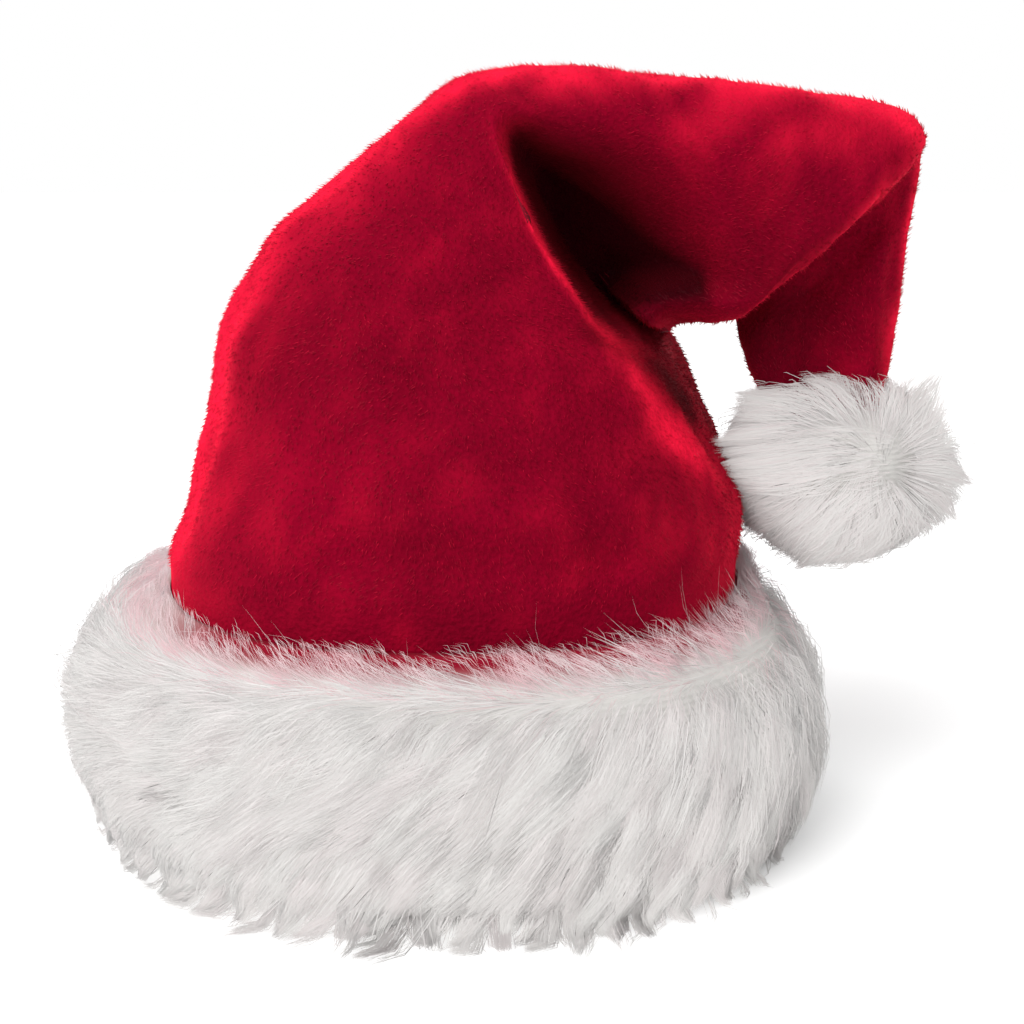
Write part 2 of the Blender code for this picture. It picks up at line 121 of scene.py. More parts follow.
LIP_FROM, LIP_WIDTH = 0.77, 0.13
BACK_TUCK_FROM = 0.45
SLIP_AT, SLIP_REACH, SLIP_FADES = 0.60, 0.50, (0.70, 0.95)


def ease(low, high, x):
    """0 below low, 1 above high, and a smooth step between them."""
    share = np.clip((x - low) / (high - low), 0, 1)
    return share * share * (3 - 2 * share)


def read_rows(rows, at):
    """The table's columns at row number "at", along a cubic that never overshoots a row."""
    table = np.array(rows)
    step = np.diff(table, axis=0)
    same_way = step[:-1] * step[1:] > 0
    total = np.where(same_way, step[:-1] + step[1:], 1)
    slope = np.zeros_like(table)
    slope[1:-1] = np.where(same_way, 2 * step[:-1] * step[1:] / total, 0)
    slope[0], slope[-1] = step[0], step[-1]
    low = np.clip(np.floor(at).astype(int), 0, len(table) - 2)
    f = (at - low)[..., None]
    return (
        (1 + 2 * f) * (1 - f) ** 2 * table[low]
        + f * (1 - f) ** 2 * slope[low]
        + f**2 * (3 - 2 * f) * table[low + 1]
        + f**2 * (f - 1) * slope[low + 1]
    )


def named(columns, values):
    """Columns of a table by name, from an array whose last axis holds them."""
    return dict(zip(columns, np.moveaxis(np.asarray(values), -1, 0)))


def chart(row):
    """The crown's charted values at a row, by name."""
    return named(CROWN_COLUMNS, read_rows(CROWN_ROWS, row))


def oval(turn):
    """Unit section: across and deep to the power 2.25 add up to 1. Turn 0 is the inner
    point, 0.25 the back, 0.5 the outer point and 0.75 the front."""
    angle = 2 * np.pi * turn
    across, deep = np.cos(angle), np.sin(angle)
    power = 2 / OVAL_POWER
    return np.sign(across) * abs(across) ** power, np.sign(deep) * abs(deep) ** power


def crown_sections(row, turn):
    """The oval of each row, with its front tucked back past the ridge."""
    c = chart(row)
    across, deep = oval(turn)
    inward = (1 + across) / 2
    past = c["ridge"] + c["crease"]
    lip_from = np.maximum(LIP_FROM, past)
    swell = 1 - (1 - c["lip"]) * ease(lip_from, lip_from + LIP_WIDTH, inward)
    least = 1 - (1 - c["lip"]) * ease(lip_from, lip_from + LIP_WIDTH, 1)
    front_tuck = ease(c["ridge"], past, inward) * swell
    back_tuck = ease(c["ridge"], past, 1) * least * ease(BACK_TUCK_FROM, 1, inward)
    tucked = c["tuck"] * np.where(deep < 0, front_tuck, back_tuck)
    slip_at = c["ridge"] + SLIP_AT * c["crease"]
    slip = np.exp(-(((inward - slip_at) / (SLIP_REACH * c["crease"])) ** 2))
    slip = slip * c["tuck"] * (1 - ease(*SLIP_FADES, inward))
    inward = inward - np.where(deep < 0, slip, 0)
    return np.stack(
        (
            c["outer_x"] + (c["inner_x"] - c["outer_x"]) * inward,
            c["middle_y"] + deep * np.where(deep < 0, c["front"], c["back"]) + tucked,
            c["outer_z"] + (c["inner_z"] - c["outer_z"]) * inward,
        ),
        -1,
    )


print(len(CROWN_ROWS), "sections from the hem to the tail's end")

# %% [markdown]
# ## Smaller folds and the swell of soft cloth
# Real plush never lies on a clean curve. Each named fold is a soft ridge or dent along a
# line over the cloth, and two low noises on top swell the cloth by half a millimetre and
# ruffle it a little more finely. They fade out where the cuff hides and presses the crown.

# %% Folds, swell and the crown's surface
FOLD_COLUMNS = "row_from turn_from row_to turn_to height reach".split()
FOLDS = {
    "side_pleat": (2.8, 0.545, 4.8, 0.550, -0.0030, 0.010),
    "waist": (5.8, 0.550, 5.9, 0.600, -0.0020, 0.009),
    "front_sag": (4.4, 0.600, 3.9, 0.800, -0.0030, 0.014),
    "front_swell": (3.3, 0.660, 3.8, 0.860, 0.0025, 0.010),
    "over_cuff": (2.9, 0.700, 2.8, 0.820, -0.0030, 0.009),
    "tube_arc": (13.0, 0.580, 14.6, 0.800, 0.0030, 0.010),
    "tail_groove": (18.5, 0.780, 21.0, 0.760, -0.0050, 0.008),
    "tail_side": (18.5, 0.660, 21.0, 0.660, 0.0025, 0.006),
    "back_hollow": (8.0, 0.300, 11.0, 0.180, -0.0060, 0.016),
    "back_sag": (4.0, 0.330, 4.6, 0.150, -0.0040, 0.014),
}
COVERED_ROWS, FOLDS_FADE_IN = 2.0, 0.6
SWELLS = ((0.030, 0.0006), (0.012, 0.00025))  # wavelength and height of each noise
WAVE_SPREAD = (0.6, 1.5)  # how far each wave may be from the wavelength


def soft_noise(points, wavelength, waves=7, seed=5):
    """Smooth noise about 0: the mean of sine waves in random directions through space."""
    own = np.random.default_rng(seed)
    ways = own.normal(size=(waves, 3))
    ways = ways / np.linalg.norm(ways, axis=1, keepdims=True)
    ways = ways * own.uniform(*WAVE_SPREAD, (waves, 1)) * 2 * np.pi / wavelength
    shifts = own.uniform(0, 2 * np.pi, waves)
    return np.sin(points @ ways.T + shifts).sum(-1) / np.sqrt(waves)


def unit(vectors):
    return vectors / np.maximum(np.linalg.norm(vectors, axis=-1, keepdims=True), 1e-12)


def grid_normals(points):
    """Outward unit normals of a grid that is closed round its second axis."""
    along = np.gradient(points, axis=0)
    round_it = np.roll(points, -1, axis=1) - np.roll(points, 1, axis=1)
    return unit(np.cross(round_it, along))


def on_lines(lines, row, turn):
    """The sum of soft lines over the crown: each has its own height on the line and falls
    off like a bell with distance from it."""
    c = chart(row)
    girth = GIRTH_PER_SPAN * np.hypot(c["inner_x"] - c["outer_x"], c["inner_z"] - c["outer_z"])
    height = np.zeros_like(girth + turn)
    for values in lines.values():
        fold = named(FOLD_COLUMNS, values)
        line = (
            (fold["row_to"] - fold["row_from"]) * ROW_LENGTH,
            (fold["turn_to"] - fold["turn_from"]) * girth,
        )
        here = ((row - fold["row_from"]) * ROW_LENGTH, (turn - fold["turn_from"]) * girth)
        share = (here[0] * line[0] + here[1] * line[1]) / (line[0] ** 2 + line[1] ** 2)
        share = np.clip(share, 0, 1)
        away = (here[0] - share * line[0]) ** 2 + (here[1] - share * line[1]) ** 2
        height = height + fold["height"] * np.exp(-away / fold["reach"] ** 2)
    return height


def crown_surface(row, turn, stand_off=0.0):
    """The section's points, lifted along their normals by folds, swell and stand_off."""
    row, turn = np.broadcast_arrays(row, turn)
    points = crown_sections(row, turn)
    lift = on_lines(FOLDS, row, turn)
    for number, (wavelength, height) in enumerate(SWELLS):
        lift = lift + height * soft_noise(points, wavelength, seed=number)
    lift = lift * ease(COVERED_ROWS, COVERED_ROWS + FOLDS_FADE_IN, row) + stand_off
    return points + grid_normals(points) * lift[..., None] + TO_ORIGIN


LAST_INWARD = 0.86, 0.95  # where the ridge and its crease end at most, for the columns


def turn_at(inward):
    """The turn, on the front of a section, of a point that far in from its outer point."""
    across = 2 * inward - 1
    cosine = np.sign(across) * abs(across) ** (OVAL_POWER / 2)
    return 1 - np.arccos(np.clip(cosine, -1, 1)) / (2 * np.pi)


def crown_turns(rows, back_columns, front_columns):
    """Turns round each section. Over the front they are lined up on the ridge, with named
    numbers of columns before it, over its crease and past it, so that its edge is crisp."""
    c = chart(rows)
    last_ridge, last_past = LAST_INWARD
    ridge = turn_at(np.minimum(c["ridge"], last_ridge))
    past = turn_at(np.minimum(c["ridge"] + c["crease"], last_past))
    edges = (0.5, ridge, past, 1.0)
    turns = [np.arange(back_columns) / back_columns / 2 + 0 * ridge]
    for start, stop, count in zip(edges, edges[1:], front_columns):
        turns.append(start + (stop - start) * np.arange(count) / count)
    return np.hstack(turns)


print(len(FOLDS), "folds and", len(SWELLS), "swells")

# %% [markdown]
# ## Colour and shade that several materials share
# Pile shows two things at once. Over a hand's breadth it is brushed this way and that, which
# mottles its colour. And each hair is darker at its root, where little light gets in. Both
# are small node groups, so that the plush and the fur can use them with their own values.

# %% Shader node groups
def new_group(name, inputs, outputs):
    """A shader node group with named sockets: inputs and outputs map a name to its kind."""
    group = bpy.data.node_groups.new(name, "ShaderNodeTree")
    for direction, sockets in (("INPUT", inputs), ("OUTPUT", outputs)):
        for socket, kind in sockets.items():
            group.interface.new_socket(socket, in_out=direction, socket_type="NodeSocket" + kind)
    return group, group.nodes.new("NodeGroupInput"), group.nodes.new("NodeGroupOutput")


def add_node(tree, kind, links=None, **settings):
    """A node with its settings, and its inputs set to values or linked from sockets."""
    node = tree.nodes.new("ShaderNode" + kind)
    for name, value in settings.items():
        setattr(node, name, value)
    for name, value in (links or {}).items():
        if isinstance(value, bpy.types.NodeSocket):
            tree.links.new(value, node.inputs[name])
        else:
            node.inputs[name].default_value = value
    return node


def mix_colours(tree, factor, first, second):
    node = tree.nodes.new("ShaderNodeMix")
    node.data_type = "RGBA"
    for socket, value in (
        (node.inputs[0], factor), (node.inputs[6], first), (node.inputs[7], second)
    ):
        if isinstance(value, bpy.types.NodeSocket):
            tree.links.new(value, socket)
        else:
            socket.default_value = value
    return node.outputs[2]


def brushed_group():
    """Mottling of brushed pile: two noises through space, one broad and one fine, each
    stretched to full contrast, added by their shares and used to mix two colours."""
    inputs = {"Dark": "Color", "Light": "Color"}
    inputs.update({"Broad Scale": "Float", "Fine Scale": "Float", "Fine Share": "Float"})
    group, given, result = new_group("brushed_pile", inputs, {"Color": "Color", "Height": "Float"})
    where = add_node(group, "TexCoord").outputs["Object"]
    noises = []
    for scale, detail in (("Broad Scale", 2.0), ("Fine Scale", 3.0)):
        noise = add_node(
            group, "TexNoise", {"Vector": where, "Scale": given.outputs[scale], "Detail": detail}
        )
        spread = add_node(
            group, "MapRange", {"Value": noise.outputs["Fac"], "From Min": 0.3, "From Max": 0.7}
        )
        noises.append(spread.outputs["Result"])
    both = add_node(group, "Mix", {}, data_type="FLOAT")
    group.links.new(given.outputs["Fine Share"], both.inputs[0])
    group.links.new(noises[0], both.inputs[2])
    group.links.new(noises[1], both.inputs[3])
    colour = mix_colours(group, both.outputs[0], given.outputs["Dark"], given.outputs["Light"])
    group.links.new(colour, result.inputs["Color"])
    group.links.new(noises[1], result.inputs["Height"])
    return group


def strand_group():
    """Colour of a hair: from its root colour to its tip colour by the attribute "along",
    then mixed to an odd colour by a share of "tint", which is one number for each hair."""
    inputs = {"Root": "Color", "Tip": "Color", "Odd": "Color", "Odd Share": "Float"}
    group, given, result = new_group("hair_shade", inputs, {"Color": "Color"})
    along = add_node(group, "Attribute", attribute_name="along").outputs["Fac"]
    tint = add_node(group, "Attribute", attribute_name="tint").outputs["Fac"]
    plain = mix_colours(group, along, given.outputs["Root"], given.outputs["Tip"])
    share = add_node(group, "Math", {0: tint, 1: given.outputs["Odd Share"]}, operation="MULTIPLY")
    colour = mix_colours(group, share.outputs[0], plain, given.outputs["Odd"])
    group.links.new(colour, result.inputs["Color"])
    return group


def use_group(tree, group, values):
    node = tree.nodes.new("ShaderNodeGroup")
    node.node_tree = group
    for name, value in values.items():
        node.inputs[name].default_value = value
    return node


BRUSHED = brushed_group()
HAIR_SHADE = strand_group()
print("groups", BRUSHED.name, HAIR_SHADE.name)

# %% [markdown]
# ## Materials
# Plush is dark when seen straight into its pile and bright where it is seen from the side,
# so its colour turns with Layer Weight as well as with the shader's sheen. Shade is painted
# into its colour where a closed fold keeps the light out of the pile, and highlights are
# painted along the ridge's rim and some edges, both by point attributes. Faux fur is nearly
# white all through, a little rosy near the red, and its hairs have a soft gleam.

# %% Red plush, its hairs, white fur and the knit it grows from
CRIMSON_DEEP = (0.120, 0.0001, 0.0080, 1)
CRIMSON_LIGHT = (0.235, 0.0003, 0.0150, 1)
# CRIMSON_EDGE: the red of pile seen from the side, and of the painted highlights.
CRIMSON_EDGE = (0.800, 0.0080, 0.0400, 1)
# Painted shade: the near-black red of the pile in the crown's closed folds.
CRIMSON_PAINTED_SHADE = (0.012, 0.0001, 0.0012, 1)
SHEEN_RED = (1.0, 0.02, 0.05, 1)
EDGE_BLEND, EDGE_POWER, EDGE_SHARE = 0.45, 2.2, 0.9
PLUSH_BROAD, PLUSH_FINE, KNIT_BROAD, FINE_SHARE = 26.0, 620.0, 60.0, 0.5
PLUSH_BUMP, KNIT_BUMP = (0.5, 0.0010), (0.4, 0.0004)  # strength and distance
KNIT_ROWS, KNIT_BENT = 180.0, 1.5
CLOTH_SHINE = {
    "Roughness": 0.9,
    "Specular IOR Level": 0.03,
    "Sheen Weight": 0.10,
    "Sheen Roughness": 0.4,
    "Sheen Tint": SHEEN_RED,
}
PLUSH_SHINE = {
    "Roughness": 0.6,
    "Specular IOR Level": 0.06,
    "Sheen Weight": 0.10,
    "Sheen Tint": SHEEN_RED,
}
FUR_SHINE = {"Roughness": 0.5, "Specular IOR Level": 0.3, "Sheen Weight": 0.2}
KNIT_SHINE = {"Roughness": 0.9, "Specular IOR Level": 0.2}
HAIR_COLUMNS = ("Root", "Tip", "Odd", "Odd Share")
HAIR_COLOURS = {
    "red_plush_hair": ((0.16, 0.0001, 0.010, 1), (0.25, 0.0004, 0.016, 1), (0.50, 0.0040, 0.030, 1), 0.7),
    "white_fur_hair": ((0.55, 0.535, 0.525, 1), (0.60, 0.59, 0.575, 1), (0.54, 0.455, 0.465, 1), 0.5),
    "rosy_fur_hair": ((0.60, 0.56, 0.555, 1), (0.61, 0.50, 0.51, 1), (0.64, 0.25, 0.30, 1), 0.6),
}
KNIT_COLUMNS = ("Dark", "Light", "Fine Scale")
KNIT_COLOURS = {
    "white_knit": ((0.54, 0.53, 0.51, 1), (0.60, 0.59, 0.565, 1), 700.0),
    "red_knit": ((0.12, 0.0004, 0.008, 1), (0.20, 0.0008, 0.013, 1), 500.0),
}


def new_material(name, settings):
    material = bpy.data.materials.new(name)
    material.use_nodes = True
    shader = material.node_tree.nodes["Principled BSDF"]
    for socket, value in settings.items():
        shader.inputs[socket].default_value = value
    return material, material.node_tree, shader


def side_lit(tree, colour):
    """The colour, turned toward the bright edge red where the pile is seen from the side, and
    where a point attribute paints highlights on the ridge's rim and some edges."""
    bright = add_node(tree, "Attribute", attribute_name="bright").outputs["Fac"]
    weight = add_node(tree, "LayerWeight", {"Blend": EDGE_BLEND})
    power = add_node(tree, "Math", {0: weight.outputs["Facing"], 1: EDGE_POWER}, operation="POWER")
    share = add_node(tree, "Math", {0: power.outputs[0], 1: EDGE_SHARE}, operation="MULTIPLY")
    both = add_node(tree, "Math", {0: share.outputs[0], 1: bright}, operation="ADD", use_clamp=True)
    return mix_colours(tree, both.outputs[0], colour, CRIMSON_EDGE)


def shade_folds(tree, colour, shader):
    """The colour of pile: side-lit, then darkened by the shade painted into its folds."""
    shut = add_node(tree, "Attribute", attribute_name="shut").outputs["Fac"]
    shaded = mix_colours(tree, shut, side_lit(tree, colour), CRIMSON_PAINTED_SHADE)
    tree.links.new(shaded, shader.inputs["Base Color"])


def bumped(tree, height, bump, shader):
    """The surface's normal bent by a height, with a strength and a distance."""
    strength, distance = bump
    node = add_node(tree, "Bump", {"Height": height, "Strength": strength, "Distance": distance})
    tree.links.new(node.outputs["Normal"], shader.inputs["Normal"])


def plush_material():
    material, tree, shader = new_material("red_plush_cloth", CLOTH_SHINE)
    values = {"Dark": CRIMSON_DEEP, "Light": CRIMSON_LIGHT, "Fine Share": FINE_SHARE}
    values.update({"Broad Scale": PLUSH_BROAD, "Fine Scale": PLUSH_FINE})
    pile = use_group(tree, BRUSHED, values)
    shade_folds(tree, pile.outputs["Color"], shader)
    bumped(tree, pile.outputs["Height"], PLUSH_BUMP, shader)
    return material


def hair_material(name, settings, in_folds=False):
    material, tree, shader = new_material(name, settings)
    shade = use_group(tree, HAIR_SHADE, dict(zip(HAIR_COLUMNS, HAIR_COLOURS[name])))
    if in_folds:
        shade_folds(tree, shade.outputs["Color"], shader)
    else:
        tree.links.new(shade.outputs["Color"], shader.inputs["Base Color"])
    return material


def knit_material(name):
    """Backing cloth: mottled, with the fine rows of its knit as a bump across the height.
    It turns red where the attribute "reddened" says."""
    material, tree, shader = new_material(name, KNIT_SHINE)
    values = dict(zip(KNIT_COLUMNS, KNIT_COLOURS[name]))
    values.update({"Broad Scale": KNIT_BROAD, "Fine Share": FINE_SHARE})
    ground = use_group(tree, BRUSHED, values)
    red = add_node(tree, "Attribute", attribute_name="reddened").outputs["Fac"]
    colour = mix_colours(tree, red, ground.outputs["Color"], CRIMSON_LIGHT)
    tree.links.new(colour, shader.inputs["Base Color"])
    links = {"Vector": add_node(tree, "TexCoord").outputs["Object"]}
    links.update({"Scale": KNIT_ROWS, "Distortion": KNIT_BENT})
    rows = add_node(tree, "TexWave", links, bands_direction="Z")
    bumped(tree, rows.outputs["Fac"], KNIT_BUMP, shader)
    return material


plush = plush_material()
plush_hair = hair_material("red_plush_hair", PLUSH_SHINE, in_folds=True)
fur = hair_material("white_fur_hair", FUR_SHINE)
rosy_fur = hair_material("rosy_fur_hair", FUR_SHINE)
white_knit, red_knit = [knit_material(name) for name in KNIT_COLOURS]
print(len(bpy.data.materials), "materials")

# %% [markdown]
# ## Meshes from arrays
# A surface is a grid of points whose faces close round it, with a fan of triangles where it
# ends in a point. Its faces are worked out from the numbers of the grid's points alone, so
# that the same few lines serve the crown, the cuff's backing and the pompom's core.

# %% Grid surfaces
def grid_faces(rings, columns, closed=False):
    """Four-sided faces, facing out, of a grid that is closed round its second axis."""
    index = np.arange(rings * columns).reshape(rings, columns)
    after = np.roll(index, -1, axis=0) if closed else index[1:]
    index = index if closed else index[:-1]
    corners = (index, np.roll(index, -1, axis=1), np.roll(after, -1, axis=1), after)
    return np.stack(corners, -1).reshape(-1, 4)


def fan_faces(columns, ring_start, middle, outward_up):
    """Triangles from a ring of points to one point in its middle."""
    here = ring_start + np.arange(columns)
    after = np.roll(here, -1)
    ring = (here, after) if outward_up else (after, here)
    return np.stack((*ring, np.full(columns, middle)), -1)


def set_values(mesh, name, values):
    layer = mesh.attributes.new(name, "FLOAT", "POINT")
    layer.data.foreach_set("value", np.asarray(values, np.float32).ravel())


def carried(name, mesh, materials):
    """The mesh, with its materials, as a piece that rides with the hat."""
    for material in materials:
        mesh.materials.append(material)
    made = placed(name, mesh)
    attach(made, "root")
    return made


def new_surface(name, points, faces, materials):
    mesh = bpy.data.meshes.new(name)
    mesh.from_pydata(points, [], [face for group in faces for face in group.tolist()])
    mesh.shade_smooth()
    return carried(name, mesh, materials)


print("one mesh for each surface")

# %% [markdown]
# ## Hairs as meshes
# Blender's own hair would be lost in a plain mesh file, so each hair is modelled. A long one
# is a closed spindle: a point at its root, one or two small three-sided rings, and a point
# at its tip, so each bend costs six triangles. A short hair of the plush is a needle of
# four. All hairs of a piece go into one mesh, because thousands of objects would be slow.
# Hair that is shaded by its own tiny sides looks like wire, so its normals are turned toward
# the coat's, which gives the soft look of fibres that let the light through.

# %% Hairs
SIDES = 3
WIDEST, TAPER = 1.2, 0.6  # a hair's thickness at its root, and how much less at its tip


def any_way(count, chance):
    """Random directions, so that three-sided hairs don't all show the same side."""
    return unit(chance.normal(size=(count, 1, 3)))


def rings_round(middles, tangents, radii, guide):
    """Three points round each middle, across its tangent, the first of them square to the
    guide, and how each stands off its middle."""
    side = unit(np.cross(tangents, guide))
    other = np.cross(tangents, side)
    angle = 2 * np.pi * np.arange(SIDES)[:, None] / SIDES
    off = np.cos(angle) * side[:, :, None] + np.sin(angle) * other[:, :, None]
    return middles[:, :, None] + radii[:, :, None, None] * off, off


def spindle_faces(rings):
    """Triangles of one spindle: a fan at its root, two for each side of each stretch, and
    a fan at its tip."""
    here, after = np.arange(SIDES), np.roll(np.arange(SIDES), -1)
    end = np.zeros(SIDES, int)
    faces = [np.stack((end, 1 + after, 1 + here), -1)]
    for low in 1 + SIDES * np.arange(rings - 1):
        faces.append(np.stack((low + here, low + after, low + SIDES + after), -1))
        faces.append(np.stack((low + here, low + SIDES + after, low + SIDES + here), -1))
    last = 1 + SIDES * (rings - 1)
    faces.append(np.stack((last + here, last + after, end + last + SIDES), -1))
    return np.concatenate(faces)


def spindles(paths, thickness, chance):
    """Spindles along paths of shape (hairs, stops, 3): the two end stops are points, and
    each stop between them is a ring, widest at the first. Returns points, the direction of
    each from its middle, the faces of one hair, and how far along each of its points is."""
    hairs, stops = paths.shape[:2]
    share = np.linspace(0, 1, stops)[1:-1]
    radii = 0.5 * np.broadcast_to(thickness, (hairs,))[:, None] * (WIDEST - TAPER * share)
    tangents = unit(paths[:, 2:] - paths[:, :-2])
    rings, off = rings_round(paths[:, 1:-1], tangents, radii, any_way(hairs, chance))
    count = SIDES * (stops - 2)
    ends = np.zeros((hairs, 1, 3))
    return (
        np.hstack((paths[:, :1], rings.reshape(hairs, count, 3), paths[:, -1:])),
        np.hstack((ends, off.reshape(hairs, count, 3), ends)),
        spindle_faces(stops - 2),
        np.concatenate(((0.0,), np.repeat(share, SIDES), (1.0,))),
    )


def needles(roots, tips, thickness, chance):
    """Short hairs: a three-sided root and a point. Returned as spindles are."""
    tangents = unit(tips - roots)[:, None]
    radii = 0.5 * np.broadcast_to(thickness, (len(roots),))[:, None]
    way = any_way(len(roots), chance)
    rings, off = rings_round(roots[:, None], tangents, radii, way)
    points = np.hstack((rings[:, 0], tips[:, None]))
    own = np.hstack((off[:, 0], tangents))
    faces = np.array(((0, 1, 3), (1, 2, 3), (2, 0, 3), (0, 2, 1)))
    return points, own, faces, np.array((0.0, 0.0, 0.0, 1.0))


def new_hairs(name, shape, upright, softness, material, slot, **values):
    """One mesh of all the hairs. Its normals are each point's own direction, turned toward
    the coat's upright by softness. Attributes: "along", 0 at the root and 1 at the tip, and
    values, one number for each hair."""
    points, own, faces, along = shape
    hairs, each = points.shape[:2]
    faces = (faces[None] + each * np.arange(hairs)[:, None, None]).reshape(-1, 3)
    mesh = bpy.data.meshes.new(name)
    mesh.vertices.add(hairs * each)
    mesh.vertices.foreach_set("co", points.astype(np.float32).ravel())
    mesh.loops.add(faces.size)
    mesh.loops.foreach_set("vertex_index", faces.astype(np.int32).ravel())
    mesh.polygons.add(len(faces))
    mesh.polygons.foreach_set("loop_start", np.arange(0, faces.size, 3, dtype=np.int32))
    mesh.update(calc_edges=True)
    mesh.shade_smooth()
    normals = unit(softness * upright[:, None] + (1 - softness) * own)
    mesh.normals_split_custom_set_from_vertices(normals.reshape(-1, 3).tolist())
    set_values(mesh, "along", np.tile(along, hairs))
    for label, one_each in values.items():
        set_values(mesh, label, np.repeat(one_each, each))
    print(name, hairs, "hairs,", len(faces), "triangles")
    return carried(name, mesh, (material,))


print("hairs with", SIDES, "sides")

# %% [markdown]
# ## Crown
# The cloth itself: one grid from the hem to the tail's closed end. A Solidify modifier gives
# it a wall, with the knitted back of the cloth as a second material inside. Two values are
# charted on the same grid: painted shade where a fold keeps the light from the pile, and
# painted highlights along the ridge's rim and some edges, with soft random patches.

# %% The crown's cloth
CLOTH = 0.0010  # thinner than the 3 mm of the real cloth, so that tight folds stay clear
CROWN_STEP = 0.2
BACK_COLUMNS, FRONT_COLUMNS = 52, (40, 22, 26)
TAIL_END_DROP = 0.003
# Painted highlight along the ridge's rim; soft random patches vary it and the tone.
RIM_WIDTH, RIM_ROWS, RIM_ENDS = 0.035, (3.2, 5.0), (8.8, 9.6)
PATCHES, PATCHES_ON_BRIGHT, PATCHES_ALONE = ((0.030, 1.0, 31), (0.012, 0.7, 32)), 0.25, 0.05
# Painted shade in the hollow, up the tube's underside and on the tail, less on the lit roll.
HOLLOW_EDGE, HOLLOW_ROWS, HOLLOW_ENDS = (0.08, 0.5), (3.0, 4.2), (9.6, 12.6)
LIT_FROM, LIT_LOW, LIT_MORE, LIT_ROWS = (0.82, 0.93), 0.35, 0.45, (7.0, 8.2)
UNDER_FROM, UNDER_ROWS, UNDER_ENDS = (0.25, 1.0), (8.0, 10.5), (14.5, 17.0)
TAIL_FROM, TAIL_ROWS = (0.15, 0.75), (16.5, 18.5)
HOLLOW_PAINTED_SHADE, UNDER_PAINTED_SHADE, TAIL_PAINTED_SHADE, MOST_PAINTED_SHADE = 0.90, 0.42, 0.5, 0.93
FRONT_EDGE = 0.15
# Painted highlights: strokes of brighter red where light catches the pile.
PAINTED_HIGHLIGHT_STROKES = {  # read as FOLD_COLUMNS, with the share of brightness as the height
    "outer_edge": (2.4, 0.525, 7.5, 0.525, 0.60, 0.022),
    "over_cuff": (2.9, 0.600, 3.3, 0.720, 0.06, 0.010),
    "low_right": (3.0, 0.860, 3.8, 0.840, 0.12, 0.010),
    "shoulder": (8.5, 0.540, 10.5, 0.560, 0.45, 0.012),
    "tube_top": (11.0, 0.545, 16.0, 0.545, 0.55, 0.014),
    "tube_end": (15.2, 0.560, 15.8, 0.700, 0.35, 0.009),
    "tube_face": (12.5, 0.660, 14.5, 0.640, 0.22, 0.009),
    "tail_edge": (16.5, 0.545, 21.5, 0.560, 0.50, 0.006),
}
# Painted shade along two narrow creases.
PAINTED_SHADE_CREASES = {  # the same, with the share of darkness as the height
    "under_tube": (8.0, 0.843, 12.0, 0.866, 0.60, 0.009),
    "beside_ridge": (7.2, 0.838, 5.0, 0.925, 0.60, 0.006),
}


def section_place(row, turn):
    """Ridge and crease of the section, and how far in and how deep a point of it lies."""
    c = chart(row)
    across, deep = oval(turn)
    return c["ridge"], c["crease"], (1 + across) / 2, deep


def between(rise, fall, x):
    """A share that eases in over the first pair of numbers and out over the second."""
    return ease(*rise, x) * (1 - ease(*fall, x))


def shut_share(row, turn):
    """How much shade is painted on the pile: from the ridge into the hollow under the top fold,
    then less and less up the underside of the tube, in two narrow creases, and on the inner
    half of the tail. The roll below the hollow is lit, so less shade is painted there."""
    ridge, crease, inward, deep = section_place(row, turn)
    low, high = HOLLOW_EDGE
    hollow = ease(ridge + low * crease, ridge + high * crease, inward)
    hollow = hollow * between(HOLLOW_ROWS, HOLLOW_ENDS, row)
    lit = ease(*LIT_FROM, inward) * (LIT_LOW + LIT_MORE * ease(*LIT_ROWS, row))
    under = ease(*UNDER_FROM, inward) * between(UNDER_ROWS, UNDER_ENDS, row)
    tail = (1 - ease(*TAIL_FROM, 1 - inward)) * ease(*TAIL_ROWS, row)
    shut = (HOLLOW_PAINTED_SHADE * hollow + UNDER_PAINTED_SHADE * under) * (1 - lit) + TAIL_PAINTED_SHADE * tail
    front = 1 - ease(-FRONT_EDGE, FRONT_EDGE, deep)
    return np.clip(front * (shut + on_lines(PAINTED_SHADE_CREASES, row, turn)), 0, MOST_PAINTED_SHADE)


def bright_share(row, turn, points):
    """How much highlight is painted on the pile: along the ridge's rim and on the named strokes,
    made stronger or weaker by soft random patches, which also vary its tone a little all over."""
    ridge, _, inward, deep = section_place(row, turn)
    rim = np.exp(-(((inward - ridge) / RIM_WIDTH) ** 2)) * (deep < 0)
    rim = rim * between(RIM_ROWS, RIM_ENDS, row)
    patches = sum(share * soft_noise(points, size, seed=seed) for size, share, seed in PATCHES)
    bright = (rim + on_lines(PAINTED_HIGHLIGHT_STROKES, row, turn)) * (1 + PATCHES_ON_BRIGHT * patches)
    return np.clip(bright + PATCHES_ALONE * patches, 0, 1)


crown_rows = np.arange(0, LAST_ROW + CROWN_STEP / 2, CROWN_STEP)[:, None]
crown_columns = crown_turns(crown_rows, BACK_COLUMNS, FRONT_COLUMNS)
crown_grid = crown_surface(crown_rows, crown_columns)
# The crown's painted shade and painted highlights, charted on its grid.
crown_shut = shut_share(crown_rows, crown_columns)
crown_bright = bright_share(crown_rows, crown_columns, crown_grid)
rings, columns = crown_grid.shape[:2]
tail_end = crown_grid[-1].mean(axis=0) - (0, 0, TAIL_END_DROP)
crown = new_surface(
    "crown_cloth",
    np.vstack((crown_grid.reshape(-1, 3), tail_end)),
    [grid_faces(rings, columns), fan_faces(columns, (rings - 1) * columns, rings * columns, True)],
    (plush, red_knit),
)
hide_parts("crown")
